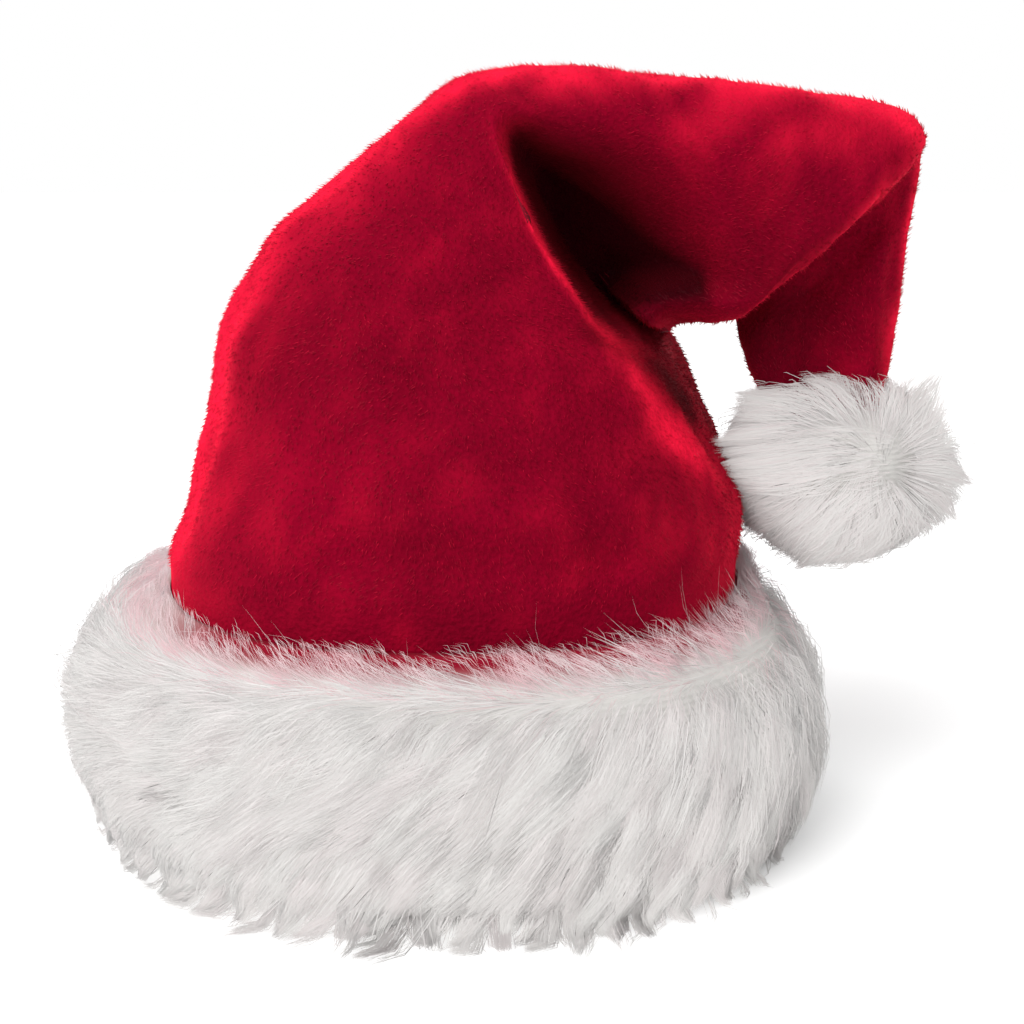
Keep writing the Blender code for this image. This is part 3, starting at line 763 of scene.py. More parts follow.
# Painted shade and painted highlights, as point attributes of the cloth.
set_values(crown.data, "shut", np.append(crown_shut, 0))
set_values(crown.data, "bright", np.append(crown_bright, 0))
wall = crown.modifiers.new("cloth", "SOLIDIFY")
wall.thickness = CLOTH
wall.offset = -1
wall.material_offset = 1
print("crown", 4 * rings * columns, "triangles")

# %% [markdown]
# ## The crown's pile
# Plush is a dense stand of short fibres that lean with the nap, which runs down from the
# top. Single fibres are too fine to model, so each needle here stands for a small tuft. On
# the outline they make the furry edge, and over the front they break up the shade. Roots
# are spread evenly by area, and the lean wanders from place to place, as brushed pile does.

# %% Short plush pile
PILE_TUFTS = 40000
PILE_FROM_ROW = 2.0
PILE_LENGTH, PILE_THICKNESS, PILE_ROOT = 0.0021, 0.00048, 0.0003
PILE_LENGTHS = (0.55, 1.2)
PILE_LEAN, PILE_LEANS = 1.5, (0.4, 1.6)  # sideways for each unit upright
PILE_WANDER, PILE_WANDER_SIZE, PILE_STRAY = 0.6, 0.045, 0.35
PILE_SOFTNESS = 0.8
PILE_ODD_RARENESS = 4


def scattered(grid, count, chance):
    """Cell and place in it of points spread evenly by area over a grid of points."""
    after = np.roll(grid, -1, axis=1)
    across = after[:-1] - grid[:-1]
    along = grid[1:] - grid[:-1]
    area = np.linalg.norm(np.cross(across, along), axis=-1).ravel()
    total = np.cumsum(area)
    cell = np.searchsorted(total, chance.uniform(0, total[-1], count))
    cell = np.minimum(cell, area.size - 1)
    return np.divmod(cell, grid.shape[1]), chance.uniform(size=(2, count))


def read_grid(values, cells, places):
    """Values of a grid at places inside its cells, blended between the four corners."""
    ring, column = cells
    up, side = places.reshape(2, -1, *(1,) * (values.ndim - 2))
    after = (column + 1) % values.shape[1]
    low = values[ring, column] * (1 - side) + values[ring, after] * side
    high = values[ring + 1, column] * (1 - side) + values[ring + 1, after] * side
    return low * (1 - up) + high * up


first_ring = round(PILE_FROM_ROW / CROWN_STEP)
pile_grid = crown_grid[first_ring:]
cells, places = scattered(pile_grid, PILE_TUFTS, chance)
roots = read_grid(pile_grid, cells, places)
upright = unit(read_grid(grid_normals(pile_grid), cells, places))
nap = unit(read_grid(-np.gradient(pile_grid, axis=0), cells, places))
aside = np.cross(upright, nap)
wander = PILE_WANDER * soft_noise(roots, PILE_WANDER_SIZE, seed=11)
wander = wander + chance.normal(0, PILE_STRAY, PILE_TUFTS)
lean = unit(nap + aside * wander[:, None])
length = PILE_LENGTH * chance.uniform(*PILE_LENGTHS, PILE_TUFTS)[:, None]
lean_share = PILE_LEAN * chance.uniform(*PILE_LEANS, PILE_TUFTS)[:, None]
tips = roots + length * unit(upright + lean_share * lean)
new_hairs(
    "crown_pile",
    needles(roots - PILE_ROOT * upright, tips, PILE_THICKNESS, chance),
    upright,
    PILE_SOFTNESS,
    plush_hair,
    "red_plush",
    tint=chance.uniform(size=PILE_TUFTS) ** PILE_ODD_RARENESS,
    # The pile takes the cloth's painted shade and painted highlights.
    shut=read_grid(crown_shut[first_ring:], cells, places),
    bright=read_grid(crown_bright[first_ring:], cells, places),
)

# %% [markdown]
# ## The cuff's shape
# The cuff is a strip of long-pile cloth folded over the hem. Its section is charted from the
# tips that lie on the crown, over the parting where the pile divides, down the outside to
# the floor and in under the foot. Swells bring the front forward and lift the ends.

# %% Section and swells of the cuff
CUFF_COLUMNS = ("out", "up")
CUFF_ROWS = (
    (0.0004, 0.0850),
    (0.0085, 0.0815),
    (0.0150, 0.0755),
    (0.0220, 0.0690),
    (0.0275, 0.0540),
    (0.0290, 0.0360),
    (0.0270, 0.0170),
    (0.0220, 0.0035),
    (0.0160, 0.0000),
    (0.0080, 0.0000),
    (0.0000, 0.0000),
    (0.0000, 0.0450),
    (0.0000, 0.0800),
)
PARTING_ROW, FLOOR_ROW = 2, 8
SWELL_COLUMNS = "turn out up reach".split()
CUFF_SWELLS = {
    "left_end": (0.50, 0.0055, 0.0040, 0.080),
    "back": (0.25, 0.0020, 0.0050, 0.110),
    "right_end": (0.02, -0.0040, 0.0060, 0.070),
    "front": (0.76, 0.0085, 0.0000, 0.130),
}
SEAM_GAP = 0.0004


def cuff_section(position, turn):
    """Out and up of the section, with its swells added like bells round the hat."""
    section = named(CUFF_COLUMNS, read_rows(CUFF_ROWS, position))
    out, up = section["out"], section["up"]
    for values in CUFF_SWELLS.values():
        swell = named(SWELL_COLUMNS, values)
        away = (turn - swell["turn"] + 0.5) % 1 - 0.5
        here = np.exp(-((away / swell["reach"]) ** 2))
        grown = 1 + here * swell["up"] / CUFF_ROWS[0][1]
        out = out + here * swell["out"] * ease(0, CUFF_ROWS[PARTING_ROW][0], out)
        up = up * grown
    return out, up


def cuff_skin(position, turn):
    """The section carried round the crown's foot."""
    position, turn = np.broadcast_arrays(position, turn)
    out, up = cuff_section(position, turn)
    foot = named(CROWN_COLUMNS, CROWN_ROWS[0])
    half_width = (foot["inner_x"] - foot["outer_x"]) / 2 + SEAM_GAP
    middle_x = (foot["inner_x"] + foot["outer_x"]) / 2
    across, deep = oval(turn)
    return TO_ORIGIN + np.stack(
        (middle_x + (half_width + out) * across, (foot["front"] + SEAM_GAP + out) * deep, up), -1
    )


SMALL = 0.004  # a step along the skin, small enough to read its slope


def cuff_frame(position, turn):
    """Point, outward normal, and metres of cloth for each row and for each turn there."""
    point = cuff_skin(position, turn)
    down = (cuff_skin(position + SMALL, turn) - point) / SMALL
    round_it = (cuff_skin(position, turn + SMALL) - point) / SMALL
    normal = unit(np.cross(down, round_it))
    return point, normal, np.linalg.norm(down, axis=-1), np.linalg.norm(round_it, axis=-1)


print(len(CUFF_ROWS), "points of the cuff's section,", len(CUFF_SWELLS), "swells")

# %% [markdown]
# ## The cuff's backing
# Under the fur lies its knitted backing. It is the same skin, sunk by 1 to 11 mm: most under
# the foot, where the hair is deep, and least at its top edge, where the fringe thins out
# over the crown. That edge is tinted red there, as the crown shines through it.

# %% The knitted backing
SUNK_AT = (0.0, 1.0, 1.8, 2.2, 2.8, 3.6, 5.5, 7.0, 8.0, 9.0, 12.0)
SUNK = (0.0012, 0.0030, 0.0024, 0.0024, 0.0036, 0.0040, 0.0055, 0.0110, 0.0070, 0.0, 0.0)
BACKING_COLUMNS, BACKING_RINGS = 200, 49
REDDENED_ROWS, REDDENED_TURNS, REDDENED_LEAST = (0.5, 1.5), (0.54, 0.64), 0.35


def sunk(position):
    """How deep the hair's roots lie under the skin of the cuff."""
    return np.interp(position, SUNK_AT, SUNK)


shown = np.linspace(0, FLOOR_ROW, BACKING_RINGS)
hidden = np.arange(FLOOR_ROW + 1, len(CUFF_ROWS))
positions = np.concatenate((shown, hidden))[::-1, None]
turns = np.arange(BACKING_COLUMNS)[None] / BACKING_COLUMNS
point, normal, _, _ = cuff_frame(positions, turns)
point = np.where(
    positions[..., None] <= FLOOR_ROW, point - normal * sunk(positions)[..., None], point
)
point[..., 2] = np.maximum(point[..., 2], 0)
backing = new_surface(
    "cuff_backing",
    point.reshape(-1, 3),
    [grid_faces(*point.shape[:2], closed=True)],
    (white_knit,),
)
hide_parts("cuff")
reddened = np.where(positions < PARTING_ROW, 1 - ease(*REDDENED_ROWS, positions), 0)
at_front = REDDENED_LEAST + (1 - REDDENED_LEAST) * ease(*REDDENED_TURNS, turns)
reddened = reddened * at_front
set_values(backing.data, "reddened", reddened)
print("backing", 2 * point.shape[0] * point.shape[1], "triangles")

# %% [markdown]
# ## Which way the fur is combed
# The photograph shows the cuff's fur lying to the left at the left end, falling aslant over
# the middle and straight down at the right. The comb table gives that slant by turn: the
# angle between a hair and the straight way down, positive toward falling turns. Above the
# parting the pile is brushed the other way, up and to the left over the red.
#
# A hair's path is worked out on the skin: at each stop along it, its place on the skin moves
# down and round by the comb, and its height rises from the backing to the coat's own. Past
# the foot, hairs turn outward and lie on the floor. Toward its tip each hair is drawn in to
# the middle of its lock. Low hairs are drawn in to the tufts that are listed round the foot,
# which makes the notched outline there.

# %% Comb, locks and paths
COMB_TURNS = (0.00, 0.08, 0.20, 0.32, 0.42, 0.50, 0.60, 0.68, 0.76, 0.84, 0.92)
COMB_SLANT = (-8.0, -4.0, 12.0, 40.0, 66.0, 78.0, 76.0, 66.0, 52.0, 36.0, 8.0)
FRINGE_SLANT = (10.0, 10.0, 20.0, 25.0, 25.0, 30.0, 60.0, 66.0, 60.0, 50.0, 24.0)
PARTING_TURNS = (0.00, 0.20, 0.40, 0.64, 0.72, 0.80, 0.92)
PARTING_REACH = (0.08, 0.50, 1.10, 1.10, 0.55, 0.10, 0.08)  # rows each way
SPLAY_TURNS = (0.00, 0.25, 0.45, 0.58, 0.68, 0.76, 0.86, 0.93)
SPLAY = (0.04, 0.40, 0.06, 0.08, 0.34, 0.46, 0.38, 0.08)  # outward for each metre past the foot
SPLAY_OWN = (0.2, 1.6)
LOCK_STRAY = 0.5  # in cells
METRES_PER_ROW, METRES_PER_TURN = 0.0140, 0.70  # of the cuff's cloth, near enough for locks
LOCK_KINDS, LOCK_MIX = 4096, (7919, 10473, 613)
LAST_SKIN_ROW = 6.9
FLOOR_FALL, FLOOR_HEIGHTS = 0.6, (0.0006, 0.0022)
FOOT_STRAIGHT, STRAIGHT_ROWS = 0.65, (4.2, 6.2)  # low down the fur hangs straighter
END_ROWS, END_LENGTH = (4.2, 6.0), 0.45
STOP_POWER, CLIMB = 1.1, 1.5
LUMP_SIZE, LUMP_HEIGHT = 0.040, 0.0012
COAT_SOFTNESS, LOCK_ROUND = 0.92, 0.8
LIT_FROM_ABOVE = np.array((-0.65, -0.10, 0.80))
SWAY, SWAY_SIZE = 0.42, 0.020
LENGTH_SPREAD, RISE_SPREAD, THICKNESS_SPREAD = (0.7, 1.1), (0.1, 1.6), (0.7, 1.2)
GATHER_SPREAD, GATHER_POWER = (0.5, 1.15), 1.5
LOW_ROWS, LOW_SPREAD, LOW_POWER = (4.8, 6.4), (0.6, 1.0), 1.2
TUFT_DRAW, TUFT_FOOT, TUFT_LENGTHS = 0.92, 0.0065, (0.28, 0.70)
BARE_FROM_ROW, BARE_ROWS = 5.9, 0.5
LOCK_TINT = 0.6
SPARE_ROOTS = 3
TUFTS = (  # turn and length of each tuft round the foot
    (0.020, 0.60), (0.050, 0.80), (0.085, 0.70), (0.120, 0.90), (0.150, 0.80),
    (0.190, 0.90), (0.220, 0.70), (0.260, 1.00), (0.290, 0.80), (0.330, 0.90),
    (0.370, 0.80), (0.410, 0.70), (0.450, 0.40), (0.490, 0.10), (0.525, 0.05),
    (0.555, 0.10), (0.580, 0.10), (0.604, 0.40), (0.630, 0.80), (0.650, 1.00),
    (0.672, 0.80), (0.695, 1.10), (0.719, 0.85), (0.742, 0.35), (0.764, 0.45),
    (0.788, 1.10), (0.802, 0.75), (0.817, 0.80), (0.838, 0.95), (0.865, 0.60),
    (0.890, 0.55), (0.920, 0.35), (0.950, 0.25), (0.980, 0.15),
)  # fmt: skip


def combed(position, turn):
    """The way of the fur: below the parting the comb's slant, and above it up and toward
    falling turns. The change between them is sudden at the right, where the parting shows,
    and takes more than a row each way at the left, where the coat runs on in one sweep."""
    falling = np.radians(np.interp(turn, COMB_TURNS, COMB_SLANT, period=1))
    falling = falling * (1 - FOOT_STRAIGHT * ease(*STRAIGHT_ROWS, position))
    rising = np.pi - np.radians(np.interp(turn, COMB_TURNS, FRINGE_SLANT, period=1))
    reach = np.interp(turn, PARTING_TURNS, PARTING_REACH, period=1)
    upward = 1 - ease(PARTING_ROW - reach, PARTING_ROW + reach, position)
    return falling + (rising - falling) * upward


lock_table = chance.uniform(size=(LOCK_KINDS, 6))


def locks_of(position, turn, size):
    """The lock of each hair: six random numbers of its own, and its middle. The cloth is
    cut into cells by distance down and round, every other row of cells is shifted by half,
    and a lock's middle strays from its cell's."""
    down, aside, both = LOCK_MIX
    first = np.floor(position * METRES_PER_ROW / size).astype(int)
    shift = 0.5 * (first % 2)
    second = np.floor(turn * METRES_PER_TURN / size + shift).astype(int)
    number = (first * down + second * aside + (first * second) % both) % LOCK_KINDS
    own = lock_table[number]
    middle = (first + 0.5 + LOCK_STRAY * (own[:, 0] - 0.5)) * size / METRES_PER_ROW
    across = second + 0.5 - shift + LOCK_STRAY * (own[:, 1] - 0.5)
    across = across * size / METRES_PER_TURN
    return own, middle, across


def skin_paths(position, turn, length, way, rise, splay, stops):
    """Paths of hairs rooted at (position, turn) that run "length" along the skin, "way"
    radians from straight down, and climb from the backing to "rise" over the skin."""
    share = np.linspace(0, 1, stops)[None]
    _, _, per_row, per_turn = cuff_frame(position, turn)
    rows = (length * np.cos(way) / per_row)[:, None] * share**STOP_POWER
    rounds = -(length * np.sin(way) / per_turn)[:, None] * share**STOP_POWER
    wanted = position[:, None] + rows
    at = np.clip(wanted, 0, LAST_SKIN_ROW)
    below = np.maximum(wanted - at, 0) * per_row[:, None]
    above = np.maximum(at - wanted, 0) * per_row[:, None]
    point, normal, _, _ = cuff_frame(at, turn[:, None] + rounds)
    climb = np.sin(0.5 * np.pi * np.minimum(CLIMB * share, 1))
    depth = sunk(position)[:, None]
    lump = LUMP_HEIGHT * soft_noise(point, LUMP_SIZE, seed=21)
    point = point + normal * ((depth + rise[:, None] + lump) * climb - depth)[..., None]
    point = point + unit(normal * (1, 1, 0)) * (splay[:, None] * below)[..., None]
    point[..., 2] += above - FLOOR_FALL * below
    return point


def low_ends(position, turn):
    """0 low on the cuff's two ends, where its underside turns up, and 1 elsewhere."""
    ends = 1 - np.interp(turn, SPLAY_TURNS, SPLAY, period=1) / max(SPLAY)
    return 1 - ends * ease(*END_ROWS, position)


def lock_courses(own, position, turn, length, rise, swing):
    """Length, way, rise and splay of a lock from its own random numbers. Each of length,
    rise and swing is a base and how much a lock may differ from it."""
    inner = low_ends(position, turn)
    least, more = SPLAY_OWN
    lock_length = length[0] * (1 + length[1] * (own[:, 2] - 0.5))
    return (
        lock_length * (END_LENGTH + (1 - END_LENGTH) * inner),
        combed(position, turn) + swing[0] * (own[:, 4] - 0.5),
        rise[0] * (1 + rise[1] * (own[:, 3] - 0.5)) * inner,
        np.interp(turn, SPLAY_TURNS, SPLAY, period=1) * (least + more * own[:, 2]),
    )


def nearest_tuft(turn):
    """Turn, length and distance in turns of the listed tuft that is nearest."""
    turns, lengths = np.array(TUFTS).T
    away = np.abs((turn[:, None] - turns + 0.5) % 1 - 0.5)
    nearest = np.argmin(away, axis=1)
    return turns[nearest], lengths[nearest], away.min(axis=1)


def tuft_paths(position, turn, course, stops):
    """Where each low hair would run on the middle line of its tuft: the one whose tip is
    nearest to the hair's own, of the tufts listed round the foot."""
    length, way, rise, splay = course
    least, more = TUFT_LENGTHS
    drift = length * np.sin(way) / METRES_PER_TURN
    tuft_turn, tuft_length, _ = nearest_tuft(turn - drift)
    return skin_paths(
        position,
        tuft_turn + drift,
        length * (least + more * tuft_length),
        way,
        rise,
        splay * tuft_length,
        stops,
    )


def above_floor(paths, chance):
    """Each stop lifted to a random height just over the floor, if it was lower."""
    heights = chance.uniform(*FLOOR_HEIGHTS, paths.shape[:2])
    paths[..., 2] = np.maximum(paths[..., 2], heights)
    return paths


def coat_upright(position, turn):
    """Outward from the coat a row further on, where the hair ends, swayed by soft lumps."""
    point, upright, _, _ = cuff_frame(np.minimum(position + 1, LAST_SKIN_ROW), turn)
    sway = [soft_noise(point, SWAY_SIZE, seed=seed) for seed in (41, 42, 43)]
    return unit(upright + LIT_FROM_ABOVE + SWAY * np.stack(sway, -1))


def drawn_in(paths, others, share, power):
    """Paths moved toward others, by a share that grows from nothing at the root."""
    along = np.linspace(0, 1, paths.shape[1])[None, :, None] ** power
    return paths + (others - paths) * np.clip(share[:, None, None] * along, 0, 1)


def comb(name, place, coat, length_share, gather, chance):
    """Hairs rooted at place = (position, turn), combed along the skin, gathered in locks.
    coat is a row of COATS, and gather is how far each hair is drawn in to its lock."""
    position, turn = place
    count = position.size
    length, rise, swing, lock_size, stops, thickness, material, rareness = coat
    own, lock_position, lock_turn = locks_of(position, turn, lock_size)
    length = length[0] * length_share, length[1]
    lock = lock_courses(own, position, turn, length, rise, swing)
    single = skin_paths(
        position,
        turn,
        lock[0] * chance.uniform(*LENGTH_SPREAD, count),
        lock[1] + chance.normal(0, swing[1], count),
        lock[2] * chance.uniform(*RISE_SPREAD, count),
        lock[3],
        stops,
    )
    gathered = skin_paths(lock_position, lock_turn, *lock, stops)
    share = gather * chance.uniform(*GATHER_SPREAD, count)
    paths = drawn_in(single, gathered, share, GATHER_POWER)
    low = ease(*LOW_ROWS, position) * chance.uniform(*LOW_SPREAD, count)
    tufted = tuft_paths(position, lock_turn, lock, stops)
    paths = drawn_in(paths, tufted, TUFT_DRAW * low, LOW_POWER)
    rounded = LOCK_ROUND * (single[:, 1] - gathered[:, 1]) / lock_size
    tint = LOCK_TINT * own[:, 5] + (1 - LOCK_TINT) * chance.uniform(size=count)
    paths = above_floor(paths, chance)
    made = new_hairs(
        name,
        spindles(paths, thickness * chance.uniform(*THICKNESS_SPREAD, count), chance),
        unit(coat_upright(position, turn) + rounded),
        COAT_SOFTNESS,
        material,
        "white_fur",
        tint=tint**rareness,
    )
    made.visible_shadow = False


def rooted(rows_from, rows_to, turn_from, turn_to, hairs, chance):
    """Roots between two rows and two turns, spread evenly by area: of more than are needed,
    the ones where the cloth is scarce are dropped. So are low ones between two tufts."""
    many = SPARE_ROOTS * hairs
    position = chance.uniform(rows_from, rows_to, many)
    turn = chance.uniform(turn_from, turn_to, many)
    _, _, per_row, per_turn = cuff_frame(position, turn)
    area = per_row * per_turn
    kept = chance.uniform(0, area.max(), many) < area
    _, _, away = nearest_tuft(turn)
    low = position > BARE_FROM_ROW + chance.uniform(0, BARE_ROWS, many)
    kept = np.flatnonzero(kept & ~(low & (away > TUFT_FOOT)))[:hairs]
    return position[kept], turn[kept]


print(len(TUFTS), "tufts round the foot")

# %% [markdown]
# ## The cuff's fur
# The coat of single hairs is cut in four pieces by turn, only to keep each mesh a modest
# size, with the most hair at the front. Longer guard hairs lie on top, more tightly gathered
# into points. Light goes through white fur and comes back from below, so it has no dark
# gaps: the hairs cast no shadow, and the backing is near and white.

# %% Undercoat and guard hairs
# Length, rise and swing each as a base and its spread, then the size of a lock, stops along a
# hair, thickness, material, and how rare an odd colour is.
COATS = {
    "under": ((0.026, 0.5), (0.0026, 1.0), (0.36, 0.12), 0.0075, 3, 0.00028, fur, 2.0),
    "guard": ((0.030, 0.6), (0.0036, 1.2), (0.45, 0.10), 0.0100, 4, 0.00026, fur, 2.0),
    "fringe": ((0.016, 1.1), (0.0022, 1.4), (0.50, 0.28), 0.0070, 3, 0.00019, rosy_fur, 1.2),
    "stray": ((0.021, 0.9), (0.0045, 1.6), (0.90, 0.60), 0.0050, 4, 0.00011, rosy_fur, 0.8),
}
COAT_PIECES = {  # coat, rows and turns from and to, hairs, and gather above and below
    "cuff_fur_right": ("under", 1.9, 7.6, -0.125, 0.125, 12000, 0.25, 0.65),
    "cuff_fur_back": ("under", 1.9, 7.6, 0.125, 0.375, 9500, 0.25, 0.65),
    "cuff_fur_left": ("under", 1.9, 7.6, 0.375, 0.625, 16000, 0.25, 0.65),
    "cuff_fur_front": ("under", 1.9, 7.6, 0.625, 0.875, 28000, 0.25, 0.65),
    "cuff_guard_hair": ("guard", 2.2, 7.3, 0, 1, 8000, 0.35, 0.85),
}
GATHER_ROWS = (3.0, 6.0)
for name, (coat, *span, above, below) in COAT_PIECES.items():
    place = rooted(*span, chance)
    gather = above + (below - above) * ease(*GATHER_ROWS, place[0])
    comb(name, place, COATS[coat], 1, gather, chance)

# %% [markdown]
# ## Fringe over the crown
# The fringe starts just under the parting, so that both coats hide the backing. Over the
# front it thins out toward its top edge, where its tips stand apart and let the red shine
# through. A few long stray hairs stand out of it.

# %% Fringe
FRINGE_HAIRS, STRAYS = 17000, 90
FRINGE_ROWS, STRAY_ROWS = (0.1, 2.05), (0.6, 2.0)
FULL_ROWS, LEFT_END, RIGHT_END, FRINGE_LEAST = (0.5, 1.9), (0.52, 0.62), (0.92, 0.97), 0.14
FRINGE_SHORT, FRINGE_GATHER = 0.30, (0.15, 0.60)

place = rooted(*FRINGE_ROWS, 0, 1, FRINGE_HAIRS, chance)
at_ends = np.maximum(1 - ease(*LEFT_END, place[1]), ease(*RIGHT_END, place[1]))
full = np.maximum(ease(*FULL_ROWS, place[0]), at_ends)
kept = chance.uniform(size=FRINGE_HAIRS) < FRINGE_LEAST + (1 - FRINGE_LEAST) * full
place = place[0][kept], place[1][kept]
length_share = FRINGE_SHORT + (1 - FRINGE_SHORT) * ease(0, PARTING_ROW, place[0])
gather = chance.uniform(*FRINGE_GATHER, place[0].size)
comb("cuff_fringe", place, COATS["fringe"], length_share, gather, chance)
place = rooted(*STRAY_ROWS, 0, 1, STRAYS, chance)
comb("cuff_strays", place, COATS["stray"], 1, np.zeros(place[0].size), chance)

# %% [markdown]
# ## Pompom
# The pompom is a ball of the same fur, gathered round the tail's end. Its hairs spread from
# one whorl, on the front toward the right, and hang down as they go. Its core is a plain
# ball sunk under the hair. A few named tufts stand out of its outline.

# %% The pompom's core
POMPOM_CENTRE = np.array((0.1175, 0.0050, 0.1255)) + TO_ORIGIN
POMPOM_RADII = np.array((0.0400, 0.0360, 0.0325))
CORE_SHARE = 0.70
CORE_COLUMNS, CORE_RINGS = 64, 32

column_turn = np.arange(CORE_COLUMNS)[None] / CORE_COLUMNS * 2 * np.pi
ring_angle = np.linspace(-np.pi / 2, np.pi / 2, CORE_RINGS + 2)[1:-1, None]
core = np.stack(
    np.broadcast_arrays(
        np.cos(ring_angle) * np.cos(column_turn),
        np.cos(ring_angle) * np.sin(column_turn),
        np.sin(ring_angle),
    ),
    -1,
)
core = POMPOM_CENTRE + CORE_SHARE * POMPOM_RADII * core
poles = POMPOM_CENTRE + CORE_SHARE * POMPOM_RADII * np.array(((0, 0, -1), (0, 0, 1)))
corners = CORE_RINGS * CORE_COLUMNS
pompom = new_surface(
    "pompom_core",
    np.vstack((core.reshape(-1, 3), poles)),
    [
        grid_faces(CORE_RINGS, CORE_COLUMNS),
        fan_faces(CORE_COLUMNS, 0, corners, False),
        fan_faces(CORE_COLUMNS, corners - CORE_COLUMNS, corners + 1, True),
    ],
    (white_knit,),
)
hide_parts("pompom")
print("core", 2 * CORE_RINGS * CORE_COLUMNS, "triangles")

# %% [markdown]
# ## The pompom's fur
# On a ball the comb is simpler than on the cuff: a hair is a direction from the middle that
# is moved along the flow, and a height that grows. So the paths are worked out on a ball of
# radius 1 and stretched to the pompom's radii last. Locks share a middle and a few random
# numbers, as the cuff's do.

# %% Fur of the pompom
POMPOM_LOCKS = 320
POMPOM_TUFTS = np.array((  # tips, in radii from the middle
    (-1.02, -0.20, 0.88), (0.98, -0.15, 1.20), (-0.36, -0.40, 1.02),
    (0.22, -0.45, 1.08), (1.32, -0.10, -0.18), (1.10, -0.20, -0.62),
    (-1.34, -0.80, 0.42), (-1.28, -0.80, 0.18), (-0.35, -0.20, -1.14),
))  # fmt: skip
TUFT_REACH, BALL_TUFT_DRAW = 0.06, 0.88
BALL_LOCK_ROUND, WHORL_SMOOTH = 2.0, 0.20
BALL_LIT_FROM = np.array((-0.55, -0.20, 0.85))
WHORL = unit(np.array((0.52, -0.84, 0.10)))
HANG = np.array((0.0, 0.0, -0.70))
WHORL_REACH, WHORL_SHORT = 0.10, 0.3
ROOT_SUNK = 0.04
BALL_LENGTHS, BALL_SWING, BALL_RISES = (0.75, 0.5), 0.45, (0.3, 1.4)
BALL_RISE_STRAY, BALL_SWING_STRAY, BALL_GATHERS = 0.03, 0.10, (0.4, 1.2)
# Painted shade: the ball's left side is mixed toward the darker, rosy odd colour.
BALL_PAINTED_SHADE, BALL_PAINTED_SHADE_FROM = 0.6, (0.1, 0.9)  # the ball's left side is a little rosy
POMPOM_LENGTH = 0.030
POMPOM_COATS = {  # hairs, length, rise in radii, gather, stops and thickness
    "pompom_fur": (20000, POMPOM_LENGTH, 0.05, 0.40, 3, 0.00030),
    "pompom_wisps": (1500, 1.25 * POMPOM_LENGTH, 0.12, 0.60, 4, 0.00026),
}
TAIL_FOOT = np.array((0.1121, 0.0100))
TAIL_FOOT_RADII = np.array((0.0150, 0.0100))


def ball_points(count, chance):
    """Points spread evenly over a ball of radius 1."""
    return unit(chance.normal(size=(count, 3)))


def pompom_paths(start, length, rise, swing, stops):
    """Hairs that leave the whorl along the ball and hang as they go: at each stop the
    direction from the ball's middle is moved along the flow and made a unit again. Close
    to the whorl hairs stand up and lean over less. Last, tips near a named tuft are drawn
    in to its point."""
    near = np.exp(-(((1 - start @ WHORL) / WHORL_REACH) ** 2))
    length = length * (1 - WHORL_SHORT * near)
    flow = unit(start * (start @ WHORL)[:, None] - WHORL) + HANG
    flow = unit(flow - start * (flow * start).sum(-1, keepdims=True))
    flow = flow * np.cos(swing)[:, None] + np.cross(start, flow) * np.sin(swing)[:, None]
    share = np.linspace(0, 1, stops)[None, :, None]
    reach = (length / POMPOM_RADII.mean())[:, None, None]
    way = unit(start[:, None] + flow[:, None] * reach * share)
    climb = np.sin(0.5 * np.pi * np.minimum(CLIMB * share, 1))
    root = CORE_SHARE - ROOT_SUNK
    height = root + (1 - root + rise)[:, None, None] * climb
    path = way * height
    likeness = way[:, -1] @ unit(POMPOM_TUFTS).T
    nearest = np.argmax(likeness, axis=1)
    close = np.exp(-(1 - likeness.max(axis=1)) / TUFT_REACH)[:, None, None]
    to_tuft = POMPOM_TUFTS[nearest][:, None] - path
    path = path + BALL_TUFT_DRAW * close * share**2 * to_tuft
    return POMPOM_CENTRE + POMPOM_RADII * path


lock_middles = ball_points(POMPOM_LOCKS, chance)
lock_own = chance.uniform(size=(POMPOM_LOCKS, 4))


def ball_coat(name, hairs, length, rise, gather, stops, thickness):
    """Hairs over the whole ball but for the tail's foot, gathered in locks."""
    start = ball_points(hairs, chance)
    foot = (POMPOM_CENTRE + POMPOM_RADII * start)[:, :2] - TAIL_FOOT
    under_tail = ((foot / TAIL_FOOT_RADII) ** 2).sum(-1) < 1
    start = start[~(under_tail & (start[:, 2] > 0))]
    count = len(start)
    nearest = np.argmax(start @ lock_middles.T, axis=1)
    own = lock_own[nearest]
    lock_length = length * (BALL_LENGTHS[0] + BALL_LENGTHS[1] * own[:, 0])
    swing = BALL_SWING * (own[:, 1] - 0.5)
    lock_rise = rise * (BALL_RISES[0] + BALL_RISES[1] * own[:, 2])
    single = pompom_paths(
        start,
        lock_length * chance.uniform(*LENGTH_SPREAD, count),
        lock_rise + chance.normal(0, BALL_RISE_STRAY, count),
        swing + chance.normal(0, BALL_SWING_STRAY, count),
        stops,
    )
    gathered = pompom_paths(lock_middles[nearest], lock_length, lock_rise, swing, stops)
    draw = gather * chance.uniform(*BALL_GATHERS, count)
    paths = drawn_in(single, gathered, draw, GATHER_POWER)
    near = np.exp(-(((1 - start @ WHORL) / WHORL_SMOOTH) ** 2))[:, None]
    rounded = BALL_LOCK_ROUND * (1 - near) * (start - lock_middles[nearest])
    shape = spindles(paths, thickness * chance.uniform(*THICKNESS_SPREAD, count), chance)
    # Painted shade, darker and rosy, on the ball's left side.
    left_painted_shade = BALL_PAINTED_SHADE * ease(*BALL_PAINTED_SHADE_FROM, -start[:, 0])
    made = new_hairs(
        name,
        shape,
        unit(start + BALL_LIT_FROM + rounded),
        COAT_SOFTNESS,
        fur,
        "white_fur",
        tint=np.maximum(chance.uniform(size=count) ** 2, left_painted_shade),
    )
    made.visible_shadow = False


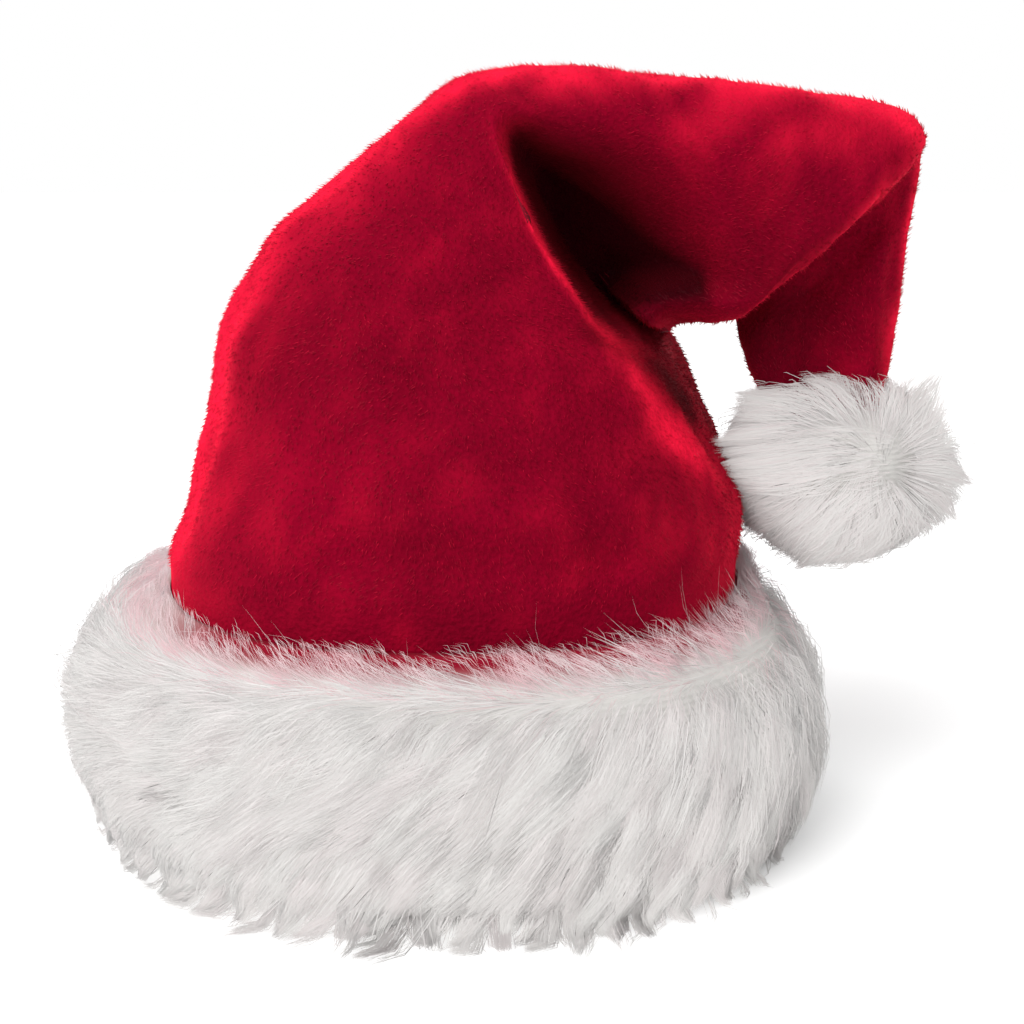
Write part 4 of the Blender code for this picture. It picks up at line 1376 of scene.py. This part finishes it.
for name, values in POMPOM_COATS.items():
    ball_coat(name, *values)

# %% [markdown]
# ## Studio
# The photograph is evenly lit with its background gone to white. A broad white floor and a
# bright sky give that, and one large soft light from above shapes the folds.

# %% Floor, lights and sky
AIM = Vector((0, 0, 0.12))
LAMPS = {"fill": ((-0.9, -1.1, 0.9), 0.9, 9), "rim": ((0.6, 0.8, 1.1), 0.8, 6)}
SUN_TURNED = np.radians((38, -14, -24))
SUN_STRENGTH, SUN_WIDTH = 1.7, np.radians(40)
SKY_LIGHT = 0.72
FLOOR_SIZE = 8


def studio_floor():
    bpy.ops.mesh.primitive_plane_add(size=FLOOR_SIZE)
    floor = bpy.context.object
    floor.name = "floor"
    paper, _, _ = new_material(
        "floor_paper", {"Base Color": (0.93, 0.93, 0.93, 1), "Roughness": 0.9}
    )
    floor.data.materials.append(paper)


def studio_lamps():
    for name, (place, size, power) in LAMPS.items():
        lamp = bpy.data.lights.new(name, "AREA")
        lamp.size = size
        lamp.energy = power
        made = placed(name, lamp)
        made.location = place
        made.rotation_euler = (AIM - made.location).to_track_quat("-Z", "Y").to_euler()


def studio_sun():
    """A wide soft sun lights the floor evenly to the horizon, as a lamp could not."""
    sun = bpy.data.lights.new("sun", "SUN")
    sun.energy = SUN_STRENGTH
    sun.angle = SUN_WIDTH
    placed("sun", sun).rotation_euler = SUN_TURNED


def studio_sky():
    """White where it is seen, and dimmer as a light, so that the folds stay dark."""
    sky = bpy.data.worlds.new("sky")
    sky.use_nodes = True
    tree = sky.node_tree
    background = tree.nodes["Background"]
    background.inputs["Color"].default_value = (1, 1, 1, 1)
    seen = tree.nodes.new("ShaderNodeLightPath").outputs["Is Camera Ray"]
    strength = tree.nodes.new("ShaderNodeMapRange")
    strength.inputs["To Min"].default_value = SKY_LIGHT
    strength.inputs["To Max"].default_value = 1.0
    tree.links.new(seen, strength.inputs["Value"])
    tree.links.new(strength.outputs["Result"], background.inputs["Strength"])
    bpy.context.scene.world = sky
    bpy.context.scene.view_settings.view_transform = "Standard"


studio_floor()
studio_lamps()
studio_sun()
studio_sky()
print(len(bpy.data.lights), "lights")
